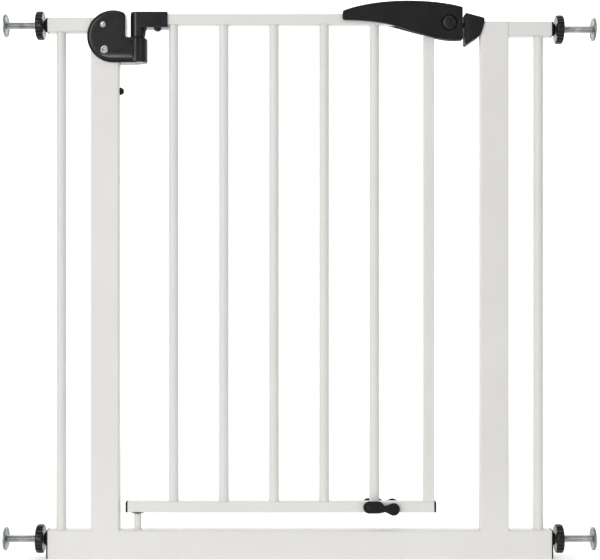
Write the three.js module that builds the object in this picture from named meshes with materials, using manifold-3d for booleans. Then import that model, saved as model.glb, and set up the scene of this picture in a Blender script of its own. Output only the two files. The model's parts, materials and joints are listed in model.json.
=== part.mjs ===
// Pressure-fit safety gate for a doorway: a welded tube frame, a leaf that swings both ways on a sleeved
// hinge pin, a push-button latch, a swing stopper and four screw-out wall pads.
// Millimetres, +Z up, X across the doorway, front towards -Y. The origin is on the floor, in the middle.

import * as THREE from 'three';
import { mergeVertices } from 'three/addons/utils/BufferGeometryUtils.js';
import Module from 'manifold-3d';

const wasm = await Module();
wasm.setup();

// Driving dimensions.
const railHalfLength = 353.2;
const frameTubeWide = 40;
const frameTubeDeep = 20;
const frameWall = 1.2;
const tubeCorner = 2;
const stubLength = 60.2;
const hingePostTop = 758.8;
const latchPostDrop = 5.5;
const stubTube = 20;
const sideBarInset = 17.7;
const barDiameter = 14;
const barWall = 1;
const leafTube = 15;
const leafWall = 1.2;
const leafCorner = 1.5;
const leafFloorGap = 24.8;
const leafRise = 5.5;
const leafBarCount = 5;
const firstBarInset = 50.5;
const stileInset = 71.8;
const stileGapExtra = 5.7;
const hingeOffset = 25;
const hingePinDiameter = 8;
const pivotStudDiameter = 10;
const rodDiameter = 10;
const rodLength = 78.5;
const wheelDiameter = 40;
const wheelThick = 10;
const padDiameter = 32.5;
const padThick = 3.5;
const padReach = 61.8;
const bushFlange = 3;
const bushBoss = 2.6;
const frontSag = 30;
const rearSag = 25.5;
const bottomRodZ = 27;
const liftTravel = 8;
const boltTravel = 6.5;
const buttonTravel = 4;
const buttonInset = 18.8;
const buttonDiameter = 20;
const buttonBack = -8.6;
const handleHalfDepth = 13.5;
const housingHalfDepth = 16;
const catchHalfDepth = 13.5;
const catchReach = 22.1;
const latchGap = 2.8;

// Clearances.
const fit = 0.3;
const running = 0.4;
const wheelGap = 0.8;
const screwClear = 0.4;

// Sizes that follow.
const postInset = stubLength + frameTubeWide / 2;
const hingePostX = postInset - railHalfLength;
const latchPostX = railHalfLength - postInset;
const latchPostTop = hingePostTop - latchPostDrop;
const sideBarX = railHalfLength - sideBarInset;
const hingeAxisX = hingePostX + frameTubeWide / 2 + hingeOffset;
const latchPostFace = latchPostX - frameTubeWide / 2;
const catchFaceX = latchPostFace - catchReach;
const handleEnd = catchFaceX - latchGap;
const buttonX = handleEnd - buttonInset;
const stileX = latchPostFace - stileInset;
const firstBarX = hingeAxisX + firstBarInset;
const leafBarPitch = (stileX - firstBarX - stileGapExtra) / leafBarCount;
const padFaceX = railHalfLength + padReach;
const leafTopRailTop = hingePostTop + leafRise;
const frameTop = frameTubeWide;
const frameHalfDeep = frameTubeDeep / 2;
const leafHalf = leafTube / 2;
const leafBottomZ = frameTop + leafFloorGap;
const leafBottomMid = leafBottomZ + leafHalf;
const leafTopMid = leafTopRailTop - leafHalf;
const hingeRodZ = hingePostTop - stubTube / 2;
const latchRodZ = latchPostTop - stubTube / 2;
const stileOuter = stileX + leafHalf;

// Materials.
const finish = {
  powderCoat: [0xe1e0dc, 0.42, 0],
  blackPlastic: [0x232325, 0.5, 0],
  glossBlack: [0x2a2a2c, 0.25, 0],
  greyPlastic: [0x303032, 0.55, 0],
  zinc: [0xb8bcb6, 0.32, 0.9],
  springSteel: [0x8b8d90, 0.35, 1],
  blackSteel: [0x1c1c1e, 0.45, 0.1],
};

function material([color, roughness, metalness]) {
  return new THREE.MeshStandardMaterial({ color, roughness, metalness });
}

const gate = new THREE.Group();

function add(name, shape, look) {
  const mesh = new THREE.Mesh(shape.isBufferGeometry ? shape : geometryOf(shape), material(look));
  mesh.name = name;
  gate.add(mesh);
}

// Solids.
function solidOf(geometry) {
  const bare = geometry.clone();
  bare.deleteAttribute('normal');
  bare.deleteAttribute('uv');
  const merged = mergeVertices(bare, 1e-4);
  return new wasm.Manifold(new wasm.Mesh({
    numProp: 3,
    vertProperties: new Float32Array(merged.attributes.position.array),
    triVerts: new Uint32Array(merged.index.array),
  }));
}

function geometryOf(solid) {
  const mesh = solid.getMesh();
  const geometry = new THREE.BufferGeometry();
  geometry.setAttribute('position', new THREE.BufferAttribute(mesh.vertProperties, 3));
  geometry.setIndex(new THREE.BufferAttribute(mesh.triVerts, 1));
  return geometry;
}

function join(...solids) {
  return solids.reduce((whole, piece) => whole.add(piece));
}

function cut(solid, ...tools) {
  return tools.reduce((rest, tool) => rest.subtract(tool), solid);
}

// A box between two opposite corners.
function box(low, high) {
  const size = low.map((value, i) => high[i] - value);
  const middle = low.map((value, i) => (high[i] + value) / 2);
  return solidOf(new THREE.BoxGeometry(...size).translate(...middle));
}

// Turns a shape drawn around +Z so that it points along another axis.
const along = {
  z: (geometry) => geometry,
  x: (geometry) => geometry.rotateY(Math.PI / 2),
  y: (geometry) => geometry.rotateX(-Math.PI / 2),
};

// A solid of revolution about the given axis, from [radius, height] points that start and end on the axis
// or close on themselves.
function revolve(points, axis, centre, sides = 20) {
  const lathe = new THREE.LatheGeometry(points.map(([r, h]) => new THREE.Vector2(r, h)), sides);
  return along[axis](lathe.rotateX(Math.PI / 2)).translate(...centre);
}

function rod(radius, start, end, axis, centre, sides = 20) {
  return solidOf(revolve([[0, start], [radius, start], [radius, end], [0, end]], axis, centre, sides));
}

function ring(inner, outer, start, end, axis, centre, sides = 20) {
  const profile = [[inner, start], [outer, start], [outer, end], [inner, end], [inner, start]];
  return solidOf(revolve(profile, axis, centre, sides));
}

function roundedRectangle(wide, high, corner, path = new THREE.Shape()) {
  const x = wide / 2;
  const y = high / 2;
  path.moveTo(-x + corner, -y);
  path.lineTo(x - corner, -y);
  path.absarc(x - corner, -y + corner, corner, -Math.PI / 2, 0);
  path.absarc(x - corner, y - corner, corner, 0, Math.PI / 2);
  path.absarc(-x + corner, y - corner, corner, Math.PI / 2, Math.PI);
  path.absarc(-x + corner, -y + corner, corner, Math.PI, Math.PI * 1.5);
  return path;
}

// A box-section tube of the given outer size; wide is its size along X or Z, deep its size along Y.
function boxTube(wide, deep, wall, corner, start, end, axis, centre) {
  const outline = roundedRectangle(wide, deep, corner);
  outline.holes.push(roundedRectangle(wide - 2 * wall, deep - 2 * wall, corner / 2, new THREE.Path()));
  const options = { depth: end - start, bevelEnabled: false, curveSegments: 1 };
  const tube = new THREE.ExtrudeGeometry(outline, options).translate(0, 0, start);
  return solidOf(along[axis](tube).translate(...centre));
}

// An upright bar of round tube.
function roundTube(low, high, x) {
  return ring(barDiameter / 2 - barWall, barDiameter / 2, low, high, 'z', [x, 0, 0]);
}

// A square-edged block of an outline with small round corners.
function block(outline, depth) {
  return new THREE.ExtrudeGeometry(outline, { depth, bevelEnabled: false, curveSegments: 1 });
}

// A plate whose outline is drawn in X and Z, between two values of Y.
function plate(outline, front, back, curveSegments = 6, bevel = 0) {
  const options = {
    depth: back - front - 2 * bevel,
    curveSegments,
    bevelEnabled: bevel > 0,
    bevelThickness: bevel,
    bevelSize: bevel,
    bevelOffset: -bevel,
    bevelSegments: 2,
  };
  const slab = new THREE.ExtrudeGeometry(outline, options).rotateX(Math.PI / 2);
  return solidOf(slab.translate(0, back - bevel, 0));
}

// A flat piece whose outline is drawn in X and Y, between two heights.
function slab(points, bottom, top) {
  const outline = new THREE.Shape(points.map(([x, y]) => new THREE.Vector2(x, y)));
  const solid = new THREE.ExtrudeGeometry(outline, { depth: top - bottom, bevelEnabled: false });
  return solidOf(solid.translate(0, 0, bottom));
}

// A round wire wound into a coil about the given axis.
function coil(radius, wire, length, turns, axis, centre, stepsPerTurn = 9) {
  class Helix extends THREE.Curve {
    getPoint(t) {
      const angle = 2 * Math.PI * turns * t;
      return new THREE.Vector3(radius * Math.cos(angle), radius * Math.sin(angle), t * length);
    }
  }
  const section = new THREE.Shape();
  section.absarc(0, 0, wire / 2, 0, 2 * Math.PI);
  const options = { steps: turns * stepsPerTurn, extrudePath: new Helix(), curveSegments: 3 };
  return along[axis](new THREE.ExtrudeGeometry(section, options)).translate(...centre);
}

// Fixed frame.
function frameTubes() {
  const railMid = frameTop / 2;
  const bottomRail = boxTube(frameTubeWide, frameTubeDeep, frameWall, tubeCorner,
    -railHalfLength, railHalfLength, 'x', [0, 0, railMid]);
  add('bottom_rail', bottomRail, finish.powderCoat);

  const hingePost = boxTube(frameTubeWide, frameTubeDeep, frameWall, tubeCorner,
    frameTop, hingePostTop, 'z', [hingePostX, 0, 0]);
  add('hinge_post', cut(hingePost, ...housingScrewHoles(), bumperHole()), finish.powderCoat);

  const capBottom = latchPostTop - frameWall;
  const latchPost = boxTube(frameTubeWide, frameTubeDeep, frameWall, tubeCorner,
    frameTop, capBottom, 'z', [latchPostX, 0, 0]);
  add('latch_post', cut(latchPost, catchScrewHole()), finish.powderCoat);
  const capOutline = roundedRectangle(frameTubeWide, frameTubeDeep, tubeCorner);
  const cap = block(capOutline, frameWall).translate(latchPostX, 0, capBottom);
  add('latch_post_cap', cap, finish.powderCoat);

  for (const [side, sign, postX, rodZ] of ends()) {
    const postFace = Math.abs(postX) + frameTubeWide / 2;
    const centre = [sign * (postFace + railHalfLength) / 2, 0, rodZ];
    const half = (railHalfLength - postFace) / 2;
    const stub = boxTube(stubTube, frameTubeDeep, frameWall, tubeCorner, -half, half, 'x', centre);
    add(`${side}_stub_rail`, stub, finish.powderCoat);
    const barTop = rodZ - stubTube / 2;
    add(`${side}_side_bar`, roundTube(frameTop, barTop, sign * sideBarX), finish.powderCoat);
  }
}

function ends() {
  return [['hinge', -1, hingePostX, hingeRodZ], ['latch', 1, latchPostX, latchRodZ]];
}

const studTop = leafBottomZ + leafTube - leafWall - 1;

function lowerPivot() {
  const stud = rod(pivotStudDiameter / 2, frameTop, studTop, 'z', [hingeAxisX, 0, 0]);
  add('lower_pivot_stud', stud, finish.zinc);
}

// Hinge housing: two shells that clamp the top of the hinge post and hold the sleeve's socket.
const housingCentre = { x: hingePostX + 12, z: hingePostTop - 26.8 };
const housingRadius = 36.6;
const housingFlatX = hingePostX + frameTubeWide / 2 + 9.3;
const housingBottom = housingCentre.z - housingRadius;
const lobeTop = hingePostTop - 27.8;
const lobeRadius = 14;
const sleeveRadius = 10.4;
const sleeveBottom = lobeTop - 18;
const springWire = 1.6;
const springRadius = 7.6;
const housingFloor = lobeTop - 31;
const housingScrewRadius = 2.2;
const housingScrews = [
  [hingePostX - 2, hingePostTop - 10.8, 4.6],
  [hingePostX - 0.3, hingePostTop - 45.5, 5.6],
];

function housingScrewHoles(radius = housingScrewRadius + screwClear) {
  const reach = housingHalfDepth + 2;
  return housingScrews.map(([x, z]) => rod(radius, -reach, reach, 'y', [x, 0, z], 16));
}

function housingOutline() {
  const { x, z } = housingCentre;
  const across = housingFlatX - x;
  const shoulder = Math.acos(across / housingRadius);
  const corner = 5;
  const shoulderZ = z + housingRadius * Math.sin(shoulder);
  const foot = -Math.PI / 2;
  const outline = new THREE.Shape();
  outline.moveTo(hingeAxisX, housingBottom + 2);
  outline.lineTo(hingeAxisX, lobeTop);
  outline.lineTo(housingFlatX + 3, lobeTop);
  outline.absarc(housingFlatX + 3, lobeTop + 3, 3, -Math.PI / 2, Math.PI, true);
  outline.lineTo(housingFlatX, shoulderZ - corner * 1.4);
  outline.quadraticCurveTo(housingFlatX, shoulderZ - 1, housingFlatX - corner, shoulderZ + 2.2);
  const start = Math.acos((across - corner) / housingRadius);
  outline.absarc(x, z, housingRadius, start, 2 * Math.PI + foot);
  return outline;
}

function housing() {
  const stubTop = hingePostTop + fit;
  const stubBottom = hingePostTop - stubTube - fit;
  const postLeft = hingePostX - frameTubeWide / 2 - fit;
  const postRight = hingePostX + frameTubeWide / 2 + fit;
  const deep = frameHalfDeep + fit;
  const postRoom = box([postLeft, -deep, housingBottom - 5], [postRight, deep, stubTop]);
  const stubRoom = box([postLeft - 20, -deep, stubBottom], [postLeft + 1, deep, stubTop]);
  const socket = rod(sleeveRadius + running + 0.2, housingFloor, lobeTop + 2, 'z', [hingeAxisX, 0, 0], 32);
  const pinWay = rod(hingePinDiameter / 2 + running + 1, housingFloor - 10, housingFloor + 1, 'z',
    [hingeAxisX, 0, 0]);
  const body = plate(housingOutline(), -housingHalfDepth, housingHalfDepth, 8, 3);
  const lobe = rod(lobeRadius, housingBottom + 2, lobeTop, 'z', [hingeAxisX, 0, 0], 32);
  const whole = cut(join(body, lobe), postRoom, stubRoom, socket, pinWay, ...housingScrewHoles());
  const far = 60;
  const frontHalf = box([-2 * railHalfLength, -far, 0], [0, 0, 2 * hingePostTop]);
  const rearHalf = box([-2 * railHalfLength, 0, 0], [0, far, 2 * hingePostTop]);
  const screwSeat = 1.6 - housingHalfDepth;
  const sinks = housingScrews.map(([x, z, head]) => rod(head + fit, -far, screwSeat, 'y', [x, 0, z]));
  add('hinge_housing_front', cut(whole.intersect(frontHalf), ...sinks), finish.glossBlack);
  add('hinge_housing_rear', whole.intersect(rearHalf), finish.glossBlack);

  const names = ['housing_screw_upper', 'housing_screw_lower'];
  housingScrews.forEach(([x, z, head], i) => {
    const tip = housingHalfDepth - 1;
    const profile = [[0, screwSeat - 3], [head * 0.5, screwSeat - 2.6], [head * 0.87, screwSeat - 1.6],
      [head, screwSeat], [housingScrewRadius, screwSeat], [housingScrewRadius, tip], [0, tip]];
    add(names[i], revolve(profile, 'y', [x, 0, z], 20), finish.zinc);
  });

  const springLength = sleeveBottom - housingFloor - 2 * springWire;
  const springFoot = [hingeAxisX, 0, housingFloor + springWire];
  const spring = coil(springRadius, springWire, springLength, 4, 'z', springFoot);
  add('closing_spring', spring, finish.springSteel);
  const pinHole = hingePinDiameter / 2 + running;
  const sleeve = ring(pinHole, sleeveRadius, sleeveBottom, lobeTop - fit, 'z', [hingeAxisX, 0, 0], 32);
  add('hinge_sleeve', sleeve, finish.greyPlastic);
}

// Stop bumper pressed into the inner face of the hinge post.
const bumperZ = hingePostTop - 102.2;
const bumperRadius = 5.1;
const bumperStem = 2.5;

function bumperHole() {
  return rod(bumperStem + fit, -5, 10, 'x', [hingePostX + frameTubeWide / 2, 0, bumperZ], 16);
}

function bumper() {
  const profile = [[0, -4], [bumperStem, -4], [bumperStem, 0], [bumperRadius, 0], [bumperRadius, 1.5]];
  for (let step = 1; step < 5; step += 1) {
    const angle = (step / 5) * (Math.PI / 2);
    profile.push([bumperRadius * Math.cos(angle), 1.5 + 4.5 * Math.sin(angle)]);
  }
  profile.push([0, 6]);
  const face = [hingePostX + frameTubeWide / 2, 0, bumperZ];
  add('post_bumper', revolve(profile, 'x', face, 16), finish.blackPlastic);
}

// Catch on the latch post, with a pocket for the bolt that is tall enough for the leaf to be lifted.
const boltZ = leafTopMid - 7.8;
const boltHalfHigh = 3;
const boltHalfDeep = 4;
const buttonZ = boltZ + 2;
const catchScrewZ = boltZ - 13;
const catchScrewRadius = 2;
const boltTip = catchFaceX + 5.6;

function catchScrewHole(radius = catchScrewRadius + screwClear) {
  return rod(radius, catchFaceX - 5, latchPostX, 'x', [0, 0, catchScrewZ], 16);
}

function catchOutline() {
  const left = catchFaceX;
  const post = latchPostFace;
  const z = boltZ;
  const outline = new THREE.Shape();
  outline.moveTo(left, z - 25);
  outline.quadraticCurveTo(left, z - 28.4, left + 3.6, z - 27.6);
  outline.lineTo(post - 9.5, z - 21.4);
  outline.quadraticCurveTo(post - 1, z - 16.5, post + 1.6, z - 11);
  outline.lineTo(post + 5.4, z + 1.8);
  outline.quadraticCurveTo(post + 6.6, z + 8.6, post + 3.4, z + 9.6);
  outline.lineTo(left + 4, z + 15.2);
  outline.quadraticCurveTo(left, z + 16, left, z + 13);
  return outline;
}

function latchCatch() {
  const postFace = latchPostFace;
  const deep = frameHalfDeep + fit;
  const postRoom = box([postFace - fit, -deep, 0], [latchPostX, deep, latchPostTop + fit]);
  const pocketBottom = boltZ - boltHalfHigh - 0.6;
  const pocketTop = boltZ + boltHalfHigh + liftTravel + 0.6;
  const pocket = box([catchFaceX - 5, -boltHalfDeep - 0.6, pocketBottom],
    [boltTip + 2.5, boltHalfDeep + 0.6, pocketTop]);
  const sink = rod(catchScrewRadius * 2 + fit, catchFaceX - 5, catchFaceX + 4, 'x', [0, 0, catchScrewZ], 16);
  const body = plate(catchOutline(), -catchHalfDepth, catchHalfDepth, 4, 1.4);
  add('catch_body', cut(body, postRoom, pocket, sink, catchScrewHole()), finish.blackPlastic);
  const seat = catchFaceX + 4;
  const profile = [[0, seat - 2], [catchScrewRadius * 2, seat - 2], [catchScrewRadius * 2, seat],
    [catchScrewRadius, seat], [catchScrewRadius, postFace + 8], [0, postFace + 8]];
  add('catch_screw', revolve(profile, 'x', [0, 0, catchScrewZ], 16), finish.zinc);
}

// Wall fixings: bush in the tube's end, hand wheel, threaded rod and wall pad.
function fixings() {
  const places = [
    ['top_hinge', -1, hingeRodZ, stubTube, hingeRodZ],
    ['top_latch', 1, latchRodZ, stubTube, latchRodZ],
    ['bottom_hinge', -1, bottomRodZ, frameTubeWide, frameTop / 2],
    ['bottom_latch', 1, bottomRodZ, frameTubeWide, frameTop / 2],
  ];
  for (const [name, sign, rodZ, tubeHigh, tubeMid] of places) {
    fixing(name, sign, rodZ, tubeHigh, tubeMid);
  }
}

function fixing(name, sign, rodZ, tubeHigh, tubeMid) {
  const at = (x) => sign * x;
  const span = (a, b) => [Math.min(at(a), at(b)), Math.max(at(a), at(b))];
  const face = railHalfLength;
  const plugLength = 25;
  const [plugLow, plugHigh] = span(face - plugLength, face);
  const plugHalfHigh = tubeHigh / 2 - frameWall - fit;
  const plugHalfDeep = frameHalfDeep - frameWall - fit;
  const plug = box([plugLow, -plugHalfDeep, tubeMid - plugHalfHigh],
    [plugHigh, plugHalfDeep, tubeMid + plugHalfHigh]);
  const [flangeLow, flangeHigh] = span(face, face + bushFlange - 1);
  const outline = roundedRectangle(tubeHigh, frameTubeDeep, tubeCorner);
  const flange = solidOf(along.x(block(outline, flangeHigh - flangeLow)).translate(flangeLow, 0, tubeMid));
  const [bossLow, bossHigh] = span(face, face + bushFlange + bushBoss);
  const boss = rod(frameHalfDeep - 0.8, bossLow, bossHigh, 'x', [0, 0, rodZ]);
  const bore = rod(rodDiameter / 2 + running, -padFaceX, padFaceX, 'x', [0, 0, rodZ]);
  add(`tube_bush_${name}`, cut(join(plug, flange, boss), bore), finish.blackPlastic);

  const wheelStart = face + bushFlange + bushBoss + wheelGap;
  const bevel = 2;
  const hubHole = rodDiameter / 2 + running;
  const edge = wheelDiameter / 2;
  const wheelProfile = [[hubHole, 0], [edge - bevel, 0], [edge, bevel], [edge, wheelThick - bevel],
    [edge - bevel, wheelThick], [hubHole, wheelThick], [hubHole, 0]];
  const [wheelLow] = span(wheelStart, wheelStart + wheelThick);
  add(`hand_wheel_${name}`, revolve(wheelProfile, 'x', [wheelLow, 0, rodZ], 28), finish.greyPlastic);

  const rodEnd = padFaceX - padThick;
  const [rodLow, rodHigh] = span(rodEnd - rodLength, rodEnd);
  add(`threaded_rod_${name}`, rod(rodDiameter / 2, rodLow, rodHigh, 'x', [0, 0, rodZ]), finish.zinc);

  const dish = 0.8;
  const hub = 7;
  const r = padDiameter / 2;
  const profile = [[0, 0], [hub, 0], [hub + 1.5, dish], [r - 2.5, dish], [r - 1, 0], [r, 0.8],
    [r, padThick], [0, padThick]];
  const oriented = sign > 0 ? profile : profile.map(([radius, h]) => [radius, padThick - h]).reverse();
  const [padLow] = span(rodEnd, padFaceX);
  add(`wall_pad_${name}`, revolve(oriented, 'x', [padLow, 0, rodZ], 24), finish.zinc);
}

// Leaf: welded tubes.
const topRailLeft = hingeAxisX + 5;
const bottomRailLeft = hingeAxisX - 13.5;
const pinTop = leafTopMid - leafHalf - fit;
const bracketScrewX = hingeAxisX + 28;
const bracketScrewRadius = 2;

function leafBoxTube(start, end, axis, centre) {
  return boxTube(leafTube, leafTube, leafWall, leafCorner, start, end, axis, centre);
}

function leafTubes() {
  const top = leafBoxTube(topRailLeft, stileOuter, 'x', [0, 0, leafTopMid]);
  const screwHole = rod(bracketScrewRadius + screwClear, leafTopMid - leafTube, leafTopMid, 'z',
    [bracketScrewX, 0, 0], 16);
  add('leaf_top_rail', cut(top, screwHole), finish.powderCoat);

  const bottom = leafBoxTube(bottomRailLeft, stileOuter, 'x', [0, 0, leafBottomMid]);
  const pivotHole = rod(pivotBushRadius + fit, leafBottomZ - 5, leafBottomMid, 'z', [hingeAxisX, 0, 0]);
  add('leaf_bottom_rail', cut(bottom, pivotHole, rivetHole()), finish.powderCoat);

  const low = leafBottomZ + leafTube;
  const high = leafTopMid - leafHalf;
  add('leaf_stile', leafBoxTube(low, high, 'z', [stileX, 0, 0]), finish.powderCoat);
  for (let i = 0; i < leafBarCount; i += 1) {
    const x = firstBarX + i * leafBarPitch;
    add(`leaf_bar_${i + 1}`, roundTube(low, high, x), finish.powderCoat);
  }
}

const pivotBushRadius = leafHalf - leafWall - fit;

function leafPlastics() {
  const capThick = 2.8;
  for (const [side, x, sign] of [['hinge', bottomRailLeft, -1], ['latch', stileOuter, 1]]) {
    const plugHalf = leafHalf - leafWall - fit;
    const inner = x - sign * 8;
    const plug = box([Math.min(inner, x), -plugHalf, leafBottomMid - plugHalf],
      [Math.max(inner, x), plugHalf, leafBottomMid + plugHalf]);
    const outline = roundedRectangle(leafTube, leafTube, leafCorner);
    const start = Math.min(x, x + sign * capThick);
    const cap = join(plug, solidOf(along.x(block(outline, capThick)).translate(start, 0, leafBottomMid)));
    const studRoom = rod(pivotBushRadius + 1.2, leafBottomZ, leafBottomZ + leafTube, 'z', [hingeAxisX, 0, 0]);
    add(`leaf_cap_${side}_end`, side === 'hinge' ? cut(cap, studRoom) : cap, finish.blackPlastic);
  }

  const hole = pivotStudDiameter / 2 + running;
  const top = leafHalf + 3;
  const profile = [[hole, -1], [9, -1], [9, 0], [pivotBushRadius, 0], [pivotBushRadius, top], [hole, top],
    [hole, -1]];
  add('lower_pivot_bush', revolve(profile, 'z', [hingeAxisX, 0, leafBottomZ]), finish.greyPlastic);
}

// L-shaped bracket: a column over the sleeve and a leg that sockets the leaf's top rail.
function hingeBracket() {
  const columnRadius = 10.2;
  const columnBottom = lobeTop + 0.6;
  const bracketTop = leafTopRailTop + 2.7;
  const legBottom = leafTopMid - leafHalf - 4.5;
  const legEnd = firstBarX - barDiameter / 2 - 0.7;
  const legHalfDeep = columnRadius;
  const column = rod(columnRadius, columnBottom, bracketTop, 'z', [hingeAxisX, 0, 0], 32);
  const leg = box([hingeAxisX, -legHalfDeep, legBottom], [legEnd, legHalfDeep, bracketTop]);
  const boss = rod(5.5, legBottom - 2, legBottom + 1, 'z', [bracketScrewX, 0, 0]);
  const railHalf = leafHalf + fit;
  const railRoom = box([topRailLeft - fit, -railHalf, leafTopMid - railHalf],
    [legEnd + 5, railHalf, leafTopMid + railHalf]);
  const pinRoom = rod(hingePinDiameter / 2 + fit, columnBottom - 1, pinTop + fit, 'z', [hingeAxisX, 0, 0]);
  const screwRoom = rod(bracketScrewRadius + screwClear, legBottom - 5, leafTopMid - leafHalf + 1, 'z',
    [bracketScrewX, 0, 0], 16);
  add('hinge_bracket', cut(join(column, leg, boss), railRoom, pinRoom, screwRoom), finish.blackPlastic);

  add('hinge_pin', rod(hingePinDiameter / 2, housingFloor + 2, pinTop, 'z', [hingeAxisX, 0, 0]), finish.zinc);

  const head = legBottom - 2;
  const screw = [[0, head - 2], [3, head - 2], [3.8, head], [bracketScrewRadius, head],
    [bracketScrewRadius, leafTopMid - 2], [0, leafTopMid - 2]];
  add('bracket_screw', revolve(screw, 'z', [bracketScrewX, 0, 0], 16), finish.zinc);
}

// Latch handle: two crescent shells over the end of the top rail.
const handleLength = 168.1;
const handleTip = handleEnd - handleLength;
const handleTop = leafTopMid + 25;
const handleScrews = [[handleEnd - 78.1, leafTopMid + 12.7], [handleEnd - 29.1, leafTopMid + 12.2]];
const handleScrewRadius = 1.6;

function handleOutline(sag) {
  const tip = handleTip;
  const end = handleEnd;
  const z = leafTopMid;
  const outline = new THREE.Shape();
  outline.moveTo(tip, z + 1.2);
  outline.quadraticCurveTo(tip, z - 1.4, tip + 4, z - 1.6);
  outline.bezierCurveTo(end - 130, z - 2, end - 110, z - 0.16 * sag, end - 86.8, z - 0.42 * sag);
  outline.bezierCurveTo(end - 63, z - 0.68 * sag, end - 40, z - 0.93 * sag, end - 20, z - sag);
  outline.quadraticCurveTo(end - 9, z - sag - 1, end - 1.8, z - sag + 0.3);
  outline.quadraticCurveTo(end, z - sag + 0.7, end, z - sag + 2.6);
  outline.lineTo(end, z + 14.4);
  outline.quadraticCurveTo(end, z + 16.2, end - 1.8, z + 16.7);
  outline.bezierCurveTo(end - 23, z + 22.2, end - 48, handleTop, end - 78, handleTop);
  outline.bezierCurveTo(end - 110, handleTop, end - 144, z + 20.2, tip + 2, z + 11.6);
  outline.quadraticCurveTo(tip, z + 10.6, tip, z + 8.2);
  return outline;
}

function handle() {
  const railHalf = leafHalf + fit;
  const railRoom = box([handleTip - 5, -railHalf, leafTopMid - railHalf],
    [stileOuter + fit, railHalf, leafTopMid + railHalf]);
  const stileRoom = box([stileX - railHalf, -railHalf, 0], [stileOuter + fit, railHalf, leafTopMid]);
  const barRoom = box([handleTip - 5, -railHalf, 0], [stileX, railHalf, leafTopMid - leafHalf + 1]);
  const wall = 2.4;
  const roomDeep = handleHalfDepth - wall;
  const mechanism = box([stileOuter + 1.8, -roomDeep + 0.6, boltZ - 10],
    [handleEnd - wall, roomDeep, boltZ + 10]);
  const boltWay = box([handleEnd - wall - 1, -boltHalfDeep - fit, boltZ - boltHalfHigh - fit],
    [handleEnd + 5, boltHalfDeep + fit, boltZ + boltHalfHigh + fit]);
  const buttonWay = rod(buttonDiameter / 2 + running, -40, buttonBack + buttonTravel + running, 'y',
    [buttonX, 0, buttonZ], 32);
  const shell = (sag) => cut(plate(handleOutline(sag), -handleHalfDepth, handleHalfDepth, 5, 1.5),
    railRoom, stileRoom, barRoom, mechanism, boltWay);
  const front = shell(frontSag).intersect(box([handleTip, -40, 0], [handleEnd, 0, 2 * handleTop]));
  const rear = shell(rearSag).intersect(box([handleTip, 0, 0], [handleEnd, 40, 2 * handleTop]));
  const holes = handleScrews.map(([x, z]) => rod(handleScrewRadius + screwClear, -6, 40, 'y', [x, 0, z], 12));
  const sinks = handleScrews.map(([x, z]) => rod(3.4, handleHalfDepth - 3, 40, 'y', [x, 0, z], 16));
  add('handle_front_cover', cut(front, buttonWay, ...holes), finish.blackPlastic);
  add('handle_rear_cover', cut(rear, ...holes, ...sinks), finish.blackPlastic);
  handleScrews.forEach(([x, z], i) => {
    const seat = handleHalfDepth - 3;
    const profile = [[0, -5], [handleScrewRadius, -5], [handleScrewRadius, seat], [3, seat], [3, seat + 1.8],
      [0, seat + 1.8]];
    add(`handle_screw_${i + 1}`, revolve(profile, 'y', [x, 0, z], 16), finish.zinc);
  });
}

// Latch bolt with a ramp on top; the button's wedge pushes on the ramp and draws the bolt back.
const wedgeSlope = boltTravel / buttonTravel;
const boltRear = buttonX - 5.3;
const rampTop = boltZ + boltHalfHigh + 5;

function latchBolt() {
  const body = box([boltRear, -boltHalfDeep, boltZ - boltHalfHigh],
    [boltTip, boltHalfDeep, boltZ + boltHalfHigh]);
  const rampLine = (y) => buttonX + 7.5 - 0.7 + wedgeSlope * y;
  const ramp = slab([[boltRear, -boltHalfDeep], [rampLine(-boltHalfDeep), -boltHalfDeep], [rampLine(1), 1],
    [rampLine(1), boltHalfDeep], [boltRear, boltHalfDeep]], boltZ + boltHalfHigh - 0.5, rampTop);
  add('latch_bolt', join(body, ramp), finish.blackSteel);
  const springStart = stileOuter + 1.8;
  const length = boltRear - springStart - 1.2;
  add('bolt_spring', coil(1.9, 0.7, length, 6, 'x', [springStart + 0.6, 0, boltZ], 8), finish.springSteel);
}

function thumbButton() {
  const front = -handleHalfDepth - 2;
  const back = buttonBack;
  const centre = [buttonX, 0, buttonZ];
  const r = buttonDiameter / 2;
  const profile = [[0, front], [r * 0.45, front + 0.25], [r * 0.75, front + 0.9], [r - 0.8, front + 1.8],
    [r, front + 2.8], [r, back], [0, back]];
  const cap = solidOf(revolve(profile, 'y', centre, 32));
  const wedgeLine = (y) => buttonX + 7.5 + wedgeSlope * y;
  const tip = -2.6;
  const side = buttonX + 6.6;
  const root = back - 0.5;
  const corners = [[wedgeLine(root), root], [side, root], [side, tip], [wedgeLine(tip), tip]];
  const wedge = slab(corners, boltZ + boltHalfHigh + 0.6, rampTop);
  add('thumb_button', join(cap, wedge), finish.blackPlastic);
}

// Swing stopper: two toggles on one rivet through the leaf's bottom rail. Turned down, each hangs over one
// face of the frame's bottom rail.
const toggleX = firstBarX + (leafBarCount - 1) * leafBarPitch - 7.8;
const toggleZ = leafBottomMid + 0.9;
const toggleReach = 34.1;
const toggleEndRadius = 8.4;
const toggleTipRadius = 8.7;
const toggleFace = Math.max(frameHalfDeep, leafHalf) + 0.9;
const toggleThick = 6;
const rivetRadius = 2.2;

function rivetHole() {
  const reach = toggleFace + toggleThick + 5;
  return rod(rivetRadius + screwClear, -reach, reach, 'y', [toggleX, 0, toggleZ], 16);
}

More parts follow.
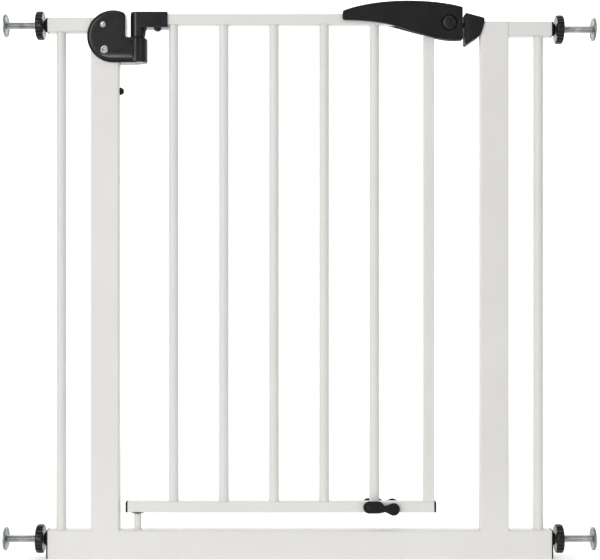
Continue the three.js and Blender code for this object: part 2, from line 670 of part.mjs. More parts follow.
function toggleOutline(droop) {
  const tipX = toggleX + toggleReach;
  const tipZ = toggleZ - droop;
  const r = toggleEndRadius;
  const outline = new THREE.Shape();
  outline.moveTo(toggleX, toggleZ - r);
  outline.lineTo(toggleX + 11, toggleZ - r);
  outline.quadraticCurveTo(toggleX + 18, toggleZ - r + 1.5, toggleX + 22.5, tipZ - 3.6);
  const arc = Math.PI * 0.7;
  const tipR = toggleTipRadius;
  const under = [tipX + tipR * Math.cos(arc), tipZ - tipR * Math.sin(arc)];
  outline.quadraticCurveTo(toggleX + 25, tipZ - 4.2, ...under);
  outline.absarc(tipX, tipZ, tipR, -arc, arc);
  outline.quadraticCurveTo(toggleX + 25, tipZ + 4.4, toggleX + 22, tipZ + 5.2);
  outline.quadraticCurveTo(toggleX + 18.6, toggleZ + r, toggleX + 13, toggleZ + r);
  outline.lineTo(toggleX, toggleZ + r);
  outline.absarc(toggleX, toggleZ, r, Math.PI / 2, Math.PI * 1.5);
  return outline;
}

function stopper() {
  for (const [name, sign, droop] of [['front', -1, 2.6], ['rear', 1, 0.8]]) {
    const inner = sign * toggleFace;
    const outer = sign * (toggleFace + toggleThick);
    const lobes = plate(toggleOutline(droop), Math.min(inner, outer), Math.max(inner, outer), 4, 1.2);
    const bossFace = sign * (leafHalf + fit);
    const [bossLow, bossHigh] = [inner + sign, bossFace].sort((a, b) => a - b);
    const boss = rod(rivetRadius + 2.8, bossLow, bossHigh, 'y', [toggleX, 0, toggleZ]);
    add(`stopper_toggle_${name}`, cut(join(lobes, boss), rivetHole()), finish.blackPlastic);
  }
  const seat = toggleFace + toggleThick + 0.2;
  const half = [[0, seat + 1.6], [2.6, seat + 1.4], [3.6, seat], [rivetRadius, seat]];
  const rivet = [...half.map(([r, y]) => [r, -y]), ...half.reverse()];
  add('toggle_rivet', revolve(rivet, 'y', [toggleX, 0, toggleZ], 16), finish.blackSteel);
}

frameTubes();
lowerPivot();
housing();
bumper();
latchCatch();
fixings();
leafTubes();
leafPlastics();
hingeBracket();
handle();
latchBolt();
thumbButton();
stopper();

export default gate;
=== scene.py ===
"""The looks of the doorway safety gate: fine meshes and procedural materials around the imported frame."""
import json
import math

import bmesh
import bpy
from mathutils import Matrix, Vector, noise


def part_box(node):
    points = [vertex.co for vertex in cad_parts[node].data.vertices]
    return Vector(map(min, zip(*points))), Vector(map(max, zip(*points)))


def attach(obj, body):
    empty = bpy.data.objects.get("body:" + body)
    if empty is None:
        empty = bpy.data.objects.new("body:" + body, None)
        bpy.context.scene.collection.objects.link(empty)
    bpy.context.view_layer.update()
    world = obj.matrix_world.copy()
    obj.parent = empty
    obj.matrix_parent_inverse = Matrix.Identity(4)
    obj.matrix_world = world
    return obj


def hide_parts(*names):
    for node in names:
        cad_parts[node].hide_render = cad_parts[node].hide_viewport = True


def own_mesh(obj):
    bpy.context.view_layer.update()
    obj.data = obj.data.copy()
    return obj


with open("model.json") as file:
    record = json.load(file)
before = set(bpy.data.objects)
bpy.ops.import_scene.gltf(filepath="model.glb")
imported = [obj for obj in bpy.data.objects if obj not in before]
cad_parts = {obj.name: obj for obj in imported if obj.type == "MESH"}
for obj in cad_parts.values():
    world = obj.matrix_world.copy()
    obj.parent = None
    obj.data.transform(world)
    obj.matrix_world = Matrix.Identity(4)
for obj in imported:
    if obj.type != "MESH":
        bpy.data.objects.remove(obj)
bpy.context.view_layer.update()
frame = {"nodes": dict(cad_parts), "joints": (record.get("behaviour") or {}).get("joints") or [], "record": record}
MM = 0.001
NODES = frame["nodes"]
JOINTS = {j["name"]: j for j in frame["joints"]}
BODY_OF = {n: b for b, members in frame["record"]["behaviour"]["bodies"].items() for n in members}
ENDS = {"top_hinge": -1, "top_latch": 1, "bottom_hinge": -1, "bottom_latch": 1}
SIDES = (("front", -1), ("rear", 1))
HANDLE_SCREWS = ("handle_screw_1", "handle_screw_2")
CLEAR = 0.3 * MM


# ---------- camera, stage and lights
def add_object(name, data):
    """A new object in the scene."""
    made = bpy.data.objects.new(name, data)
    bpy.context.scene.collection.objects.link(made)
    return made


def make_camera():
    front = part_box("bottom_rail")[0].y
    distance, view_width, eye_height = 1.8, 0.84, 0.391
    data = bpy.data.cameras.new("camera")
    data.sensor_width = 36
    data.lens = data.sensor_width * distance / view_width
    data.clip_end = 60
    camera = add_object("camera", data)
    camera.location = (0.4 * MM, front - distance, eye_height)
    camera.rotation_euler = (math.pi / 2, 0, 0)
    bpy.context.scene.camera = camera


def area_light(name, place, target, size, power, colour=(1, 1, 1)):
    data = bpy.data.lights.new(name, "AREA")
    data.shape = "RECTANGLE"
    data.size, data.size_y = size
    data.energy = power
    data.color = colour
    lamp = add_object(name, data)
    lamp.location = place
    aim = Vector(target) - Vector(place)
    lamp.rotation_euler = aim.to_track_quat("-Z", "Y").to_euler()


def map_range(tree, value, start, end, low, high):
    """Maps start..end onto low..high and holds the ends."""
    node = tree.nodes.new("ShaderNodeMapRange")
    for name, number in (("From Min", start), ("From Max", end), ("To Min", low), ("To Max", high)):
        node.inputs[name].default_value = number
    tree.links.new(value, node.inputs["Value"])
    return node.outputs["Result"]


def make_world():
    """A bright room that falls dark towards the photographer, so that flat black fronts stay black."""
    world = bpy.data.worlds.new("studio")
    world.use_nodes = True
    tree = world.node_tree
    back = tree.nodes["Background"]
    back.inputs["Color"].default_value = (1, 1, 1, 1)
    way = tree.nodes.new("ShaderNodeTexCoord")
    split = tree.nodes.new("ShaderNodeSeparateXYZ")
    tree.links.new(way.outputs["Generated"], split.inputs["Vector"])
    strength = map_range(tree, split.outputs["Y"], -0.95, -0.45, 0.3, 0.38)
    tree.links.new(strength, back.inputs["Strength"])
    bpy.context.scene.world = world


def make_lights():
    area_light("key_left", (-3.0, -4.7, 2.3), (0, 0, 0.4), (2.4, 3.2), 124, (1, 0.997, 0.99))
    area_light("fill_right", (3.4, -4.2, 1.6), (0, 0, 0.4), (2.4, 3.0), 18, (0.97, 0.985, 1))
    area_light("top_soft", (0, -0.6, 2.8), (0, 0, 0.4), (2.4, 1.6), 14)
    area_light("low_glint", (-0.6, -2.5, 0.42), (-0.26, 0, 0.72), (0.42, 0.26), 5.5)
    make_world()
    bpy.context.scene.view_settings.view_transform = "Standard"


def glow_by_depth(tree, shader):
    """The paper glows more the further back it is: a white background over ground that takes shadows."""
    way = tree.nodes.new("ShaderNodeTexCoord")
    split = tree.nodes.new("ShaderNodeSeparateXYZ")
    tree.links.new(way.outputs["Object"], split.inputs["Vector"])
    total = tree.nodes.new("ShaderNodeMath")
    total.operation = "ADD"
    near_glow = (-0.6, 0.05, 0.02, 0.42)
    far_glow = (0.05, 2.4, 0.0, 0.42)
    for socket, glow in enumerate((near_glow, far_glow)):
        tree.links.new(map_range(tree, split.outputs["Y"], *glow), total.inputs[socket])
    tree.links.new(total.outputs["Value"], shader.inputs["Emission Strength"])


def paper():
    """Matt studio paper."""
    material = bpy.data.materials.new("studio_paper")
    material.use_nodes = True
    shader = material.node_tree.nodes["Principled BSDF"]
    shader.inputs["Base Color"].default_value = (0.78, 0.78, 0.78, 1)
    shader.inputs["Roughness"].default_value = 0.9
    shader.inputs["Specular IOR Level"].default_value = 0.1
    shader.inputs["Emission Color"].default_value = (1, 1, 1, 1)
    glow_by_depth(material.node_tree, shader)
    return material


def make_stage():
    """A pale floor that curves up into a wall before and behind, as one sheet."""
    half, front, bend, back, top = 9.0, -6.5, 2.2, 3.4, 6.0
    radius = back - bend
    turns = [math.radians(9 * i) for i in range(11)]
    rows = [(front - radius, top)]
    rows += [(front - radius * math.sin(a), radius - radius * math.cos(a)) for a in reversed(turns)]
    rows += [(0.0, 0.0)]
    rows += [(bend + radius * math.sin(a), radius - radius * math.cos(a)) for a in turns]
    rows.append((back, top))
    below = 0.2 * MM
    verts = [(side * half, y, z - below) for y, z in rows for side in (-1, 1)]
    faces = [(2 * i, 2 * i + 1, 2 * i + 3, 2 * i + 2) for i in range(len(rows) - 1)]
    mesh = bpy.data.meshes.new("studio_floor")
    mesh.from_pydata(verts, [], faces)
    for polygon in mesh.polygons:
        polygon.use_smooth = True
    mesh.materials.append(paper())
    add_object("studio_floor", mesh)


# ---------- materials
class Nodes:
    """A small builder for one material's node tree, all in object space."""

    def __init__(self, name):
        self.material = bpy.data.materials.new(name)
        self.material.use_nodes = True
        self.tree = self.material.node_tree
        self.shader = self.tree.nodes["Principled BSDF"]
        self.space = self.tree.nodes.new("ShaderNodeTexCoord").outputs["Object"]

    def link(self, source, target):
        self.tree.links.new(source, target)

    def node(self, kind, output, **values):
        """A new node: a value that is a socket is linked, any other is set."""
        node = self.tree.nodes.new("ShaderNode" + kind)
        for name, value in values.items():
            self.plug(value, node.inputs[name])
        return node.outputs[output]

    def plug(self, value, socket):
        if isinstance(value, bpy.types.NodeSocket):
            self.link(value, socket)
        else:
            socket.default_value = value

    def stretched(self, scale):
        return self.node("Mapping", "Vector", Vector=self.space, Scale=scale)

    def noise(self, scale, detail=2.0, roughness=0.5, space=None):
        settings = {"Scale": scale, "Detail": detail, "Roughness": roughness}
        return self.node("TexNoise", "Fac", Vector=space or self.space, **settings)

    def cells(self, scale):
        return self.node("TexVoronoi", "Distance", Vector=self.space, Scale=scale)

    def ramp(self, value, low, high, start=0.3, end=0.7):
        node = self.tree.nodes.new("ShaderNodeValToRGB")
        node.color_ramp.elements[0].position = start
        node.color_ramp.elements[1].position = end
        node.color_ramp.elements[0].color = (*low, 1)
        node.color_ramp.elements[1].color = (*high, 1)
        self.link(value, node.inputs["Fac"])
        return node.outputs["Color"]

    def mix(self, factor, a, b, blend="MIX"):
        node = self.tree.nodes.new("ShaderNodeMix")
        node.data_type = "RGBA"
        node.blend_type = blend
        self.plug(factor, node.inputs["Factor"])
        self.link(a, node.inputs["A"])
        self.link(b, node.inputs["B"])
        return node.outputs["Result"]

    def remap(self, value, low, high, start=0.3, end=0.7):
        return map_range(self.tree, value, start, end, low, high)

    def bump(self, height, strength, distance, below=None):
        extra = {"Normal": below} if below else {}
        return self.node("Bump", "Normal", Height=height, Strength=strength, Distance=distance, **extra)

    def finish(self, colour, roughness, normal, metallic=0.0, **settings):
        self.link(colour, self.shader.inputs["Base Color"])
        self.link(roughness, self.shader.inputs["Roughness"])
        self.link(normal, self.shader.inputs["Normal"])
        self.shader.inputs["Metallic"].default_value = metallic
        for name, value in settings.items():
            self.shader.inputs[name.replace("_", " ")].default_value = value
        return self.material


def powder_coat():
    """Satin white powder coat: orange peel, faint cloudiness, specks of dust under the film."""
    n = Nodes("powder_coat")
    cloud = n.noise(9, 3)
    colour = n.ramp(cloud, (0.675, 0.665, 0.64), (0.705, 0.697, 0.672))
    specks = n.ramp(n.cells(260), (0.9, 0.895, 0.88), (1, 1, 1), 0.02, 0.06)
    colour = n.mix(0.5, colour, specks, "MULTIPLY")
    peel = n.noise(620, 2)
    rough = n.remap(n.noise(70, 3), 0.36, 0.47)
    normal = n.bump(peel, 0.16, 0.0003)
    normal = n.bump(n.noise(55, 2), 0.12, 0.0006, normal)
    return n.finish(colour, rough, normal, Specular_IOR_Level=0.42)


def moulded_plastic(name, low, high, rough, grain, strength, specular):
    """Moulded plastic: spark-eroded grain, slight shade and gloss variation, fine handling marks."""
    n = Nodes(name)
    colour = n.ramp(n.noise(28, 3), low, high)
    dust = n.ramp(n.noise(900, 4, 0.7), (0, 0, 0), (0.035, 0.035, 0.036), 0.62, 0.8)
    colour = n.mix(0.1, colour, dust, "ADD")
    scuffs = n.noise(60, 5, 0.7)
    roughness = n.remap(scuffs, rough - 0.04, rough + 0.06)
    normal = n.bump(n.noise(grain, 3, 0.6), strength, 0.00012)
    normal = n.bump(n.noise(45, 1), 0.06, 0.0008, normal)
    return n.finish(colour, roughness, normal, Specular_IOR_Level=specular)


def zinc_plate(name, low, high, rough):
    """Bright zinc: bluish to yellowish clouding, fine drawn scratches, dulled patches."""
    n = Nodes(name)
    colour = n.ramp(n.noise(55, 4, 0.6), low, high)
    scratch = n.noise(240, 4, 0.65, n.stretched((0.08, 1, 1)))
    roughness = n.remap(scratch, rough, rough + 0.22)
    normal = n.bump(scratch, 0.12, 0.0001)
    normal = n.bump(n.noise(160, 2), 0.05, 0.0003, normal)
    return n.finish(colour, roughness, normal, 1.0)


def spring_wire():
    """Drawn spring steel with lengthwise die marks."""
    n = Nodes("spring_wire")
    colour = n.ramp(n.noise(120, 3), (0.33, 0.34, 0.35), (0.5, 0.51, 0.52))
    marks = n.noise(900, 3, 0.6)
    return n.finish(colour, n.remap(marks, 0.25, 0.45), n.bump(marks, 0.1, 0.0001), 1.0)


# name: (darkest shade, lightest shade, roughness, grain scale, grain depth, specular level)
PLASTICS = {
    "black_plastic": ((0.008, 0.008, 0.009), (0.0115, 0.0115, 0.0125), 0.5, 1300, 0.2, 0.16),
    "housing_plastic": ((0.008, 0.008, 0.009), (0.012, 0.012, 0.0135), 0.22, 500, 0.03, 0.3),
    "grey_plastic": ((0.0065, 0.0065, 0.0065), (0.0105, 0.0105, 0.0105), 0.2, 1100, 0.05, 0.4),
    "black_steel": ((0.005, 0.005, 0.006), (0.009, 0.009, 0.01), 0.3, 800, 0.06, 0.3),
}
# look: (name, darkest shade, lightest shade, least roughness)
ZINCS = {
    "zinc_steel": ("zinc_plate", (0.31, 0.335, 0.33), (0.56, 0.58, 0.565), 0.18),
    # The pads take a darker copy of the zinc: painted shade for how little light the pads catch.
    "pad_steel": ("pad_plate", (0.16, 0.175, 0.17), (0.36, 0.38, 0.365), 0.22),
    "screw_steel": ("screw_plate", (0.4, 0.41, 0.41), (0.62, 0.63, 0.62), 0.1),
}
MATERIAL = {"powder_coat": powder_coat(), "spring_steel": spring_wire()}
MATERIAL.update({name: moulded_plastic(name, *look) for name, look in PLASTICS.items()})
MATERIAL.update({look: zinc_plate(*values) for look, values in ZINCS.items()})
SLOT_OF = {row["node"]: row["material_slot"] for row in frame["record"]["subparts"]}


# ---------- mesh helpers
def bake(piece):
    """Applies the piece's modifiers."""
    graph = bpy.context.evaluated_depsgraph_get()
    mesh = bpy.data.meshes.new_from_object(piece.evaluated_get(graph))
    piece.modifiers.clear()
    old = piece.data
    piece.data = mesh
    bpy.data.meshes.remove(old)
    return piece


def raw(name, verts, faces):
    mesh = bpy.data.meshes.new(name)
    mesh.from_pydata([Vector(v) for v in verts], [], faces)
    build = bmesh.new()
    build.from_mesh(mesh)
    bmesh.ops.recalc_face_normals(build, faces=build.faces)
    build.to_mesh(mesh)
    build.free()
    return add_object(name, mesh)


def smooth(piece, angle=35, weighted=True):
    for polygon in piece.data.polygons:
        polygon.use_smooth = True
    piece.data.set_sharp_from_angle(angle=math.radians(angle))
    if weighted:
        modifier = piece.modifiers.new("normals", "WEIGHTED_NORMAL")
        modifier.keep_sharp = True
        bake(piece)
    return piece


def bevel(piece, width, segments=3, angle=30):
    modifier = piece.modifiers.new("edges", "BEVEL")
    modifier.width = width
    modifier.segments = segments
    modifier.limit_method = "ANGLE"
    modifier.angle_limit = math.radians(angle)
    modifier.harden_normals = False
    modifier.use_clamp_overlap = True
    return bake(piece)


def boolean(piece, tools, operation="DIFFERENCE"):
    """Cuts the tools out of the piece, or joins them to it, and deletes them."""
    for tool in tools:
        modifier = piece.modifiers.new("cut", "BOOLEAN")
        modifier.operation = operation
        modifier.solver = "EXACT"
        modifier.object = tool
        bake(piece)
        mesh = tool.data
        bpy.data.objects.remove(tool)
        bpy.data.meshes.remove(mesh)
    return piece


def place(piece, nodes, slot=None, body=None, look=None):
    """Gives a finished piece its material and body, and stands it in for the CAD nodes it replaces."""
    nodes = [nodes] if isinstance(nodes, str) else list(nodes)
    slot = slot or SLOT_OF[nodes[0]]
    piece.data.materials.clear()
    piece.data.materials.append(MATERIAL[look or slot])
    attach(piece, body or BODY_OF[nodes[0]])
    if nodes:
        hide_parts(*nodes)
    return piece


AXES = {
    "x": lambda a, b, h: (h, a, b),
    "y": lambda a, b, h: (a, h, b),
    "z": lambda a, b, h: (a, b, h),
}


def middle(node):
    """The middle of a CAD node across and up, on the gate's own plane."""
    low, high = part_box(node)
    return ((low.x + high.x) / 2, 0, (low.z + high.z) / 2)


def half_width(node):
    low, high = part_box(node)
    return (high.x - low.x) / 2


def both(sign, a, b):
    """Two depths on the front (-1) or the rear (1), in rising order."""
    return sorted((sign * a, sign * b))


def strip(first, second, count):
    """Quads between two closed loops of count points, from the loops' first indices."""
    return [(first + i, first + (i + 1) % count, second + (i + 1) % count, second + i) for i in range(count)]


def fan(loop, tip, reverse):
    """Triangles between a loop and one point."""
    pairs = zip(loop, loop[1:] + loop[:1])
    return [(a, b, tip) if reverse else (tip, b, a) for a, b in pairs]


def revolve(name, profile, axis, centre, sides=48, wave=None):
    """A solid of revolution from (radius, height) points in metres. A profile that starts off the axis closes
    on itself. wave(angle, index) scales a point's radius."""
    closed = profile[0][0] > 1e-9
    turn = AXES[axis]
    verts, rings = [], []
    for index, (radius, height) in enumerate(profile):
        if radius < 1e-9:
            rings.append([len(verts)])
            verts.append(turn(0, 0, height))
            continue
        start = len(verts)
        for i in range(sides):
            angle = 2 * math.pi * (i + 0.5) / sides
            r = radius * (wave(angle, index) if wave else 1)
            verts.append(turn(r * math.cos(angle), r * math.sin(angle), height))
        rings.append(list(range(start, start + sides)))
    pairs = list(zip(rings, rings[1:]))
    if closed:
        pairs.append((rings[-1], rings[0]))
    faces = []
    for low, high in pairs:
        if len(low) == 1:
            faces += fan(high, low[0], False)
        elif len(high) == 1:
            faces += fan(low, high[0], True)
        else:
            faces += strip(low[0], high[0], sides)
    return raw(name, [Vector(v) + Vector(centre) for v in verts], faces)


def arc(cx, cz, radius, start, end, count):
    """Points along an arc, its angles in degrees."""
    turns = [math.radians(start + (end - start) * i / count) for i in range(count + 1)]
    return [(cx + radius * math.cos(a), cz + radius * math.sin(a)) for a in turns]


def bezier(p0, p1, p2, p3, count):
    """Points along a cubic curve."""
    out = []
    for i in range(count + 1):
        t = i / count
        u = 1 - t
        weights = (u ** 3, 3 * u * u * t, 3 * u * t * t, t ** 3)
        out.append(tuple(sum(w * p[k] for w, p in zip(weights, (p0, p1, p2, p3))) for k in (0, 1)))
    return out


def path(start, *curves):
    """Cubic curves end to end, each (second, third, last point, count) from where the one before stopped."""
    points = [start]
    for second, third, end, count in curves:
        points += bezier(points[-1], second, third, end, count)[1:]
    return points


def rounded_corner(before, corner, after, radius, count=5):
    """Points of an arc-like corner between two straight runs."""
    c = Vector(corner)
    a = c + (Vector(before) - c).normalized() * radius
    b = c + (Vector(after) - c).normalized() * radius
    steps = [i / count for i in range(count + 1)]
    return [tuple(a * (1 - t) ** 2 + c * 2 * t * (1 - t) + b * t ** 2) for t in steps]


def rounded_polygon(corners, radius):
    out = []
    for i, corner in enumerate(corners):
        out += rounded_corner(corners[i - 1], corner, corners[(i + 1) % len(corners)], radius)
    return out


def prism(name, outline, low, high, axis="y"):
    """An outline drawn in the plane across the axis, between two heights."""
    turn = AXES[axis]
    count = len(outline)
    verts = [turn(a, b, h) for h in (low, high) for a, b in outline]
    ends = [tuple(range(count)), tuple(range(2 * count - 1, count - 1, -1))]
    return raw(name, verts, ends + strip(0, count, count))


def cuboid(name, low, high):
    outline = [(low[0], low[2]), (high[0], low[2]), (high[0], high[2]), (low[0], high[2])]
    return prism(name, outline, low[1], high[1])


def disc(name, radius, low, high, axis, centre, sides=48):
    return revolve(name, [(0, low), (radius, low), (radius, high), (0, high)], axis, centre, sides)


def rectangle(half_a, half_b, radius, count=6):
    """A rounded rectangle about the origin."""
    out = []
    for ca, cb, start in ((1, -1, -90), (1, 1, 0), (-1, 1, 90), (-1, -1, 180)):
        out += arc(ca * (half_a - radius), cb * (half_b - radius), radius, start, start + 90, count)
    return out


def hollow_section(name, outer, inner, low, high, axis, centre):
    """A tube of any section, with lightly rolled ends."""
    turn = AXES[axis]
    count = len(outer)
    roll = 0.3 * MM
    halfway = [tuple(Vector(a).lerp(Vector(b), 0.5)) for a, b in zip(outer, inner)]
    shrunk = [tuple(Vector(a).lerp(Vector(m), 0.5)) for a, m in zip(outer, halfway)]
    outside = [(outer, low + roll), (outer, high - roll), (shrunk, high)]
    loops = outside + [(inner, high), (inner, low), (shrunk, low)]
    verts = [Vector(turn(a, b, h)) + Vector(centre) for ring, h in loops for a, b in ring]
    faces = []
    for k in range(len(loops)):
        faces += strip(k * count, (k + 1) % len(loops) * count, count)
    return raw(name, verts, faces)


def merge(name, pieces):
    """Joins finished meshes into one object."""
    build = bmesh.new()
    for piece in pieces:
        build.from_mesh(piece.data)
    mesh = bpy.data.meshes.new(name)
    build.to_mesh(mesh)
    build.free()
    for piece in pieces:
        old = piece.data
        bpy.data.objects.remove(piece)
        bpy.data.meshes.remove(old)
    return add_object(name, mesh)


# ---------- steel tubes
def box_tube(node, axis, wall, corner, sink=0.0, holes=()):
    """A square tube. sink carries an upright's foot past the rounded edge of the rail it stands on."""
    low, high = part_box(node)
    low.z -= sink
    centre = (low + high) / 2
    half = (high - low) / 2
    a, b, length = {"x": (half.y, half.z, half.x), "z": (half.x, half.y, half.z)}[axis]
    outer = rectangle(a, b, corner)
    inner = rectangle(a - wall, b - wall, max(corner - wall, 0.3 * MM))
    tube = hollow_section(node + "_tube", outer, inner, -length, length, axis, centre)
    return place(smooth(boolean(tube, holes)), node)


def round_tube(node):
    low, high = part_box(node)
    radius = (high.x - low.x) / 2
    wall = 1.0 * MM
    turns = [2 * math.pi * i / 40 for i in range(40)]
    outer = [(radius * math.cos(a), radius * math.sin(a)) for a in turns]
    inner = [(a * (1 - wall / radius), b * (1 - wall / radius)) for a, b in outer]
    half = (high.z - low.z) / 2
    tube = hollow_section(node + "_tube", outer, inner, -half, half, "z", (low + high) / 2)
    return place(smooth(tube), node)


def stud_hole():
    """The hole in the leaf's bottom rail that the pivot stud stands in."""
    radius = half_width("lower_pivot_stud") + 0.4 * MM
    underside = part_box("leaf_bottom_rail")[0].z
    centre = (middle("lower_pivot_stud")[0], 0, 0)
    return disc("stud_hole", radius, underside - 2 * MM, underside + 2 * MM, "z", centre, 40)


def post_end_plate():
    """The welded plate that closes the latch post."""
    low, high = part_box("latch_post_cap")
    centre = (low + high) / 2
    half = (high - low) / 2
    outline = [(centre.x + a, centre.y + b) for a, b in rectangle(half.x, half.y, 2.6 * MM)]
    cap = prism("latch_post_end_plate", outline, low.z, high.z, "z")
    place(smooth(bevel(cap, 0.8 * MM, 4)), "latch_post_cap")


def pivot_stud():
    """The stud that the leaf's lower end turns on, with a fine groove above its weld."""
    low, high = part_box("lower_pivot_stud")
    radius = (high.x - low.x) / 2
    chamfer = 1.2 * MM
    cut = radius - 0.5 * MM
    groove = [(r, low.z + h * MM) for r, h in ((radius, 3), (cut, 3.4), (cut, 4.2), (radius, 4.6))]
    profile = [(0, low.z), (radius, low.z), *groove, (radius, high.z - chamfer), (radius - chamfer, high.z),
               (0, high.z)]
    stud = revolve("pivot_stud", profile, "z", ((low.x + high.x) / 2, 0, 0), 40)
    place(smooth(stud), "lower_pivot_stud", "powder_coat")


def tubes():
    wall = 1.2 * MM
    box_tube("bottom_rail", "x", wall, 2.6 * MM)
    for node in ("hinge_post", "latch_post"):
        box_tube(node, "z", wall, 2.6 * MM, 2.7 * MM)
    for node in ("hinge_stub_rail", "latch_stub_rail"):
        box_tube(node, "x", wall, 2.2 * MM)
    box_tube("leaf_top_rail", "x", wall, 1.6 * MM)
    box_tube("leaf_bottom_rail", "x", wall, 1.6 * MM, holes=[stud_hole()])
    box_tube("leaf_stile", "z", wall, 1.6 * MM)
    for node in NODES:
        if node.endswith("_side_bar") or node.startswith("leaf_bar_"):
            round_tube(node)
    post_end_plate()
    pivot_stud()


def bead(path, size, seed, squash=0.75):
    """A weld bead along a closed loop of points: overlapping ripples, as a torch leaves them."""
    sides = 8
    count = len(path)
    pitch = 1.3 * MM
    verts, faces = [], []
    centre = sum((Vector(p) for p in path), Vector()) / count
    normal = (Vector(path[0]) - centre).cross(Vector(path[count // 4]) - centre).normalized()
    travelled = 0
    for i, point in enumerate(path):
        here, after = Vector(point), Vector(path[(i + 1) % count])
        forward = (after - Vector(path[i - 1])).normalized()
        out = forward.cross(normal).normalized()
        ripple = 0.16 * abs(math.sin(travelled / pitch * math.pi / 2))
        lump = 0.2 * noise.noise(here * 260 + Vector((seed, 0, 0)))
        radius = size * (0.85 + ripple + lump)
        for k in range(sides):
            angle = 2 * math.pi * k / sides
            verts.append(here + out * radius * math.cos(angle) + normal * radius * squash * math.sin(angle))
        travelled += (after - here).length
    for i in range(count):
        faces += strip(i * sides, (i + 1) % count * sides, sides)
    return smooth(raw("bead", verts, faces), 80, False)


def ring_path(x, z, radius, count=64):
    """A level circle on the gate's plane."""
    turns = [2 * math.pi * i / count for i in range(count)]
    return [(x + radius * math.cos(a), radius * math.sin(a), z) for a in turns]


def loop_path(half_a, half_b, corner, axis, centre, height):
    """A rounded rectangle with evenly spaced points."""
    turn = AXES[axis]
    corners = rectangle(half_a, half_b, corner, 4)
    dense = []
    for i, a in enumerate(corners):
        b = corners[(i + 1) % len(corners)]
        steps = max(1, int((Vector(b) - Vector(a)).length / (0.8 * MM)))
        dense += [tuple(Vector(a).lerp(Vector(b), k / steps)) for k in range(steps)]
    return [Vector(turn(a, b, height)) + Vector(centre) for a, b in dense]


def bar_welds(node, size, seed):
    """A bead around each end of an upright bar."""
    low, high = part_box(node)
    x = middle(node)[0]
    return [bead(ring_path(x, z, half_width(node)), size, seed + z) for z in (low.z, high.z)]


def stub_weld(side, seed):
    """The bead where a stub rail meets its post."""
    low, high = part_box(f"{side}_stub_rail")
    face = high.x if side == "hinge" else low.x
    half_deep = (high.y - low.y) / 2 - 0.6 * MM
    half_high = (high.z - low.z) / 2
    path = loop_path(half_deep, half_high, 2 * MM, "x", (0, 0, (low.z + high.z) / 2), face)
    return bead(path, 0.8 * MM, seed)


def stile_weld():
    """The bead around the foot of the leaf's stile."""
    half = half_width("leaf_stile")
    inset = half - 0.3 * MM
    centre = (middle("leaf_stile")[0], 0, 0)
    path = loop_path(inset, inset, 1.5 * MM, "z", centre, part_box("leaf_stile")[0].z)
    return bead(path, 0.7 * MM, 3)


def welds():
    frame_beads, leaf_beads = [], []
    for seed, side in enumerate(("hinge", "latch")):
        frame_beads += bar_welds(f"{side}_side_bar", 1.0 * MM, seed)
        frame_beads.append(stub_weld(side, seed + 5))
    stud = "lower_pivot_stud"
    stud_foot = ring_path(middle(stud)[0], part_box("bottom_rail")[1].z, half_width(stud))
    frame_beads.append(bead(stud_foot, 1.1 * MM, 9))
    for node in sorted(n for n in NODES if n.startswith("leaf_bar_")):
        leaf_beads += bar_welds(node, 0.8 * MM, middle(node)[0] * 10)
    leaf_beads.append(stile_weld())
    place(merge("frame_weld_beads", frame_beads), (), "powder_coat", "frame")
    place(merge("leaf_weld_beads", leaf_beads), (), "powder_coat", "leaf")


# ---------- hinge side
def hinge_axis():
    return Vector(JOINTS["leaf_swing"]["pos_m"])


def housing_flat():
    """Where the housing's straight right side stands."""
    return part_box("hinge_post")[1].x + 9.3 * MM


def run(start, end, shares):
    """Points between two corners, at these shares of the way."""
    return [tuple(a + (b - a) * t for a, b in zip(start, end)) for t in shares]


def housing_outline(inset=0.0):
    """A round back with a straight right side, running on below into the hinge lobe. Every inset gives the
    same number of points, so that loops of different insets can be skinned together."""
    low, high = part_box("hinge_housing_front")
    radius = (high.z - low.z) / 2
    cx, cz = low.x + radius, low.z + radius
    flat = housing_flat() - inset
    lobe_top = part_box("hinge_sleeve")[1].z + CLEAR - inset
    right = hinge_axis().x - inset
    r = radius - inset
    floor = cz - r
    corner = 7 * MM
    start = math.degrees(math.acos((flat - cx - corner * 0.55) / r))
    shoulder = cz + r * math.sin(math.radians(start))
    points = arc(cx, cz, r, start, 270, 72)
    points += run((cx, floor), (right, floor), (0.25, 0.5, 0.75))
    points += rounded_corner((cx, floor), (right, floor), (right, lobe_top), 1.6 * MM, 4)
    points += run((right, floor), (right, lobe_top), (0.25, 0.5, 0.75))
    points += rounded_corner((right, cz), (right, lobe_top), (flat, lobe_top), 1.6 * MM, 4)
    points += run((right, lobe_top), (flat, lobe_top), (0.3, 0.6))
    points += rounded_corner((right, lobe_top), (flat, lobe_top), (flat, shoulder), 2.5 * MM, 5)
    points += run((flat, lobe_top), (flat, shoulder), (0.3, 0.5))
    points += bezier((flat, shoulder - corner * 1.6), (flat, shoulder - corner * 0.6),
                     (flat - 0.2 * MM, shoulder - 1 * MM), points[0], 8)[:-1]
    return points


def ramp(value, start, length):
    """Rises from 0 to 1 over a length past start."""
    return min(1, max(0, (value - start) / length))


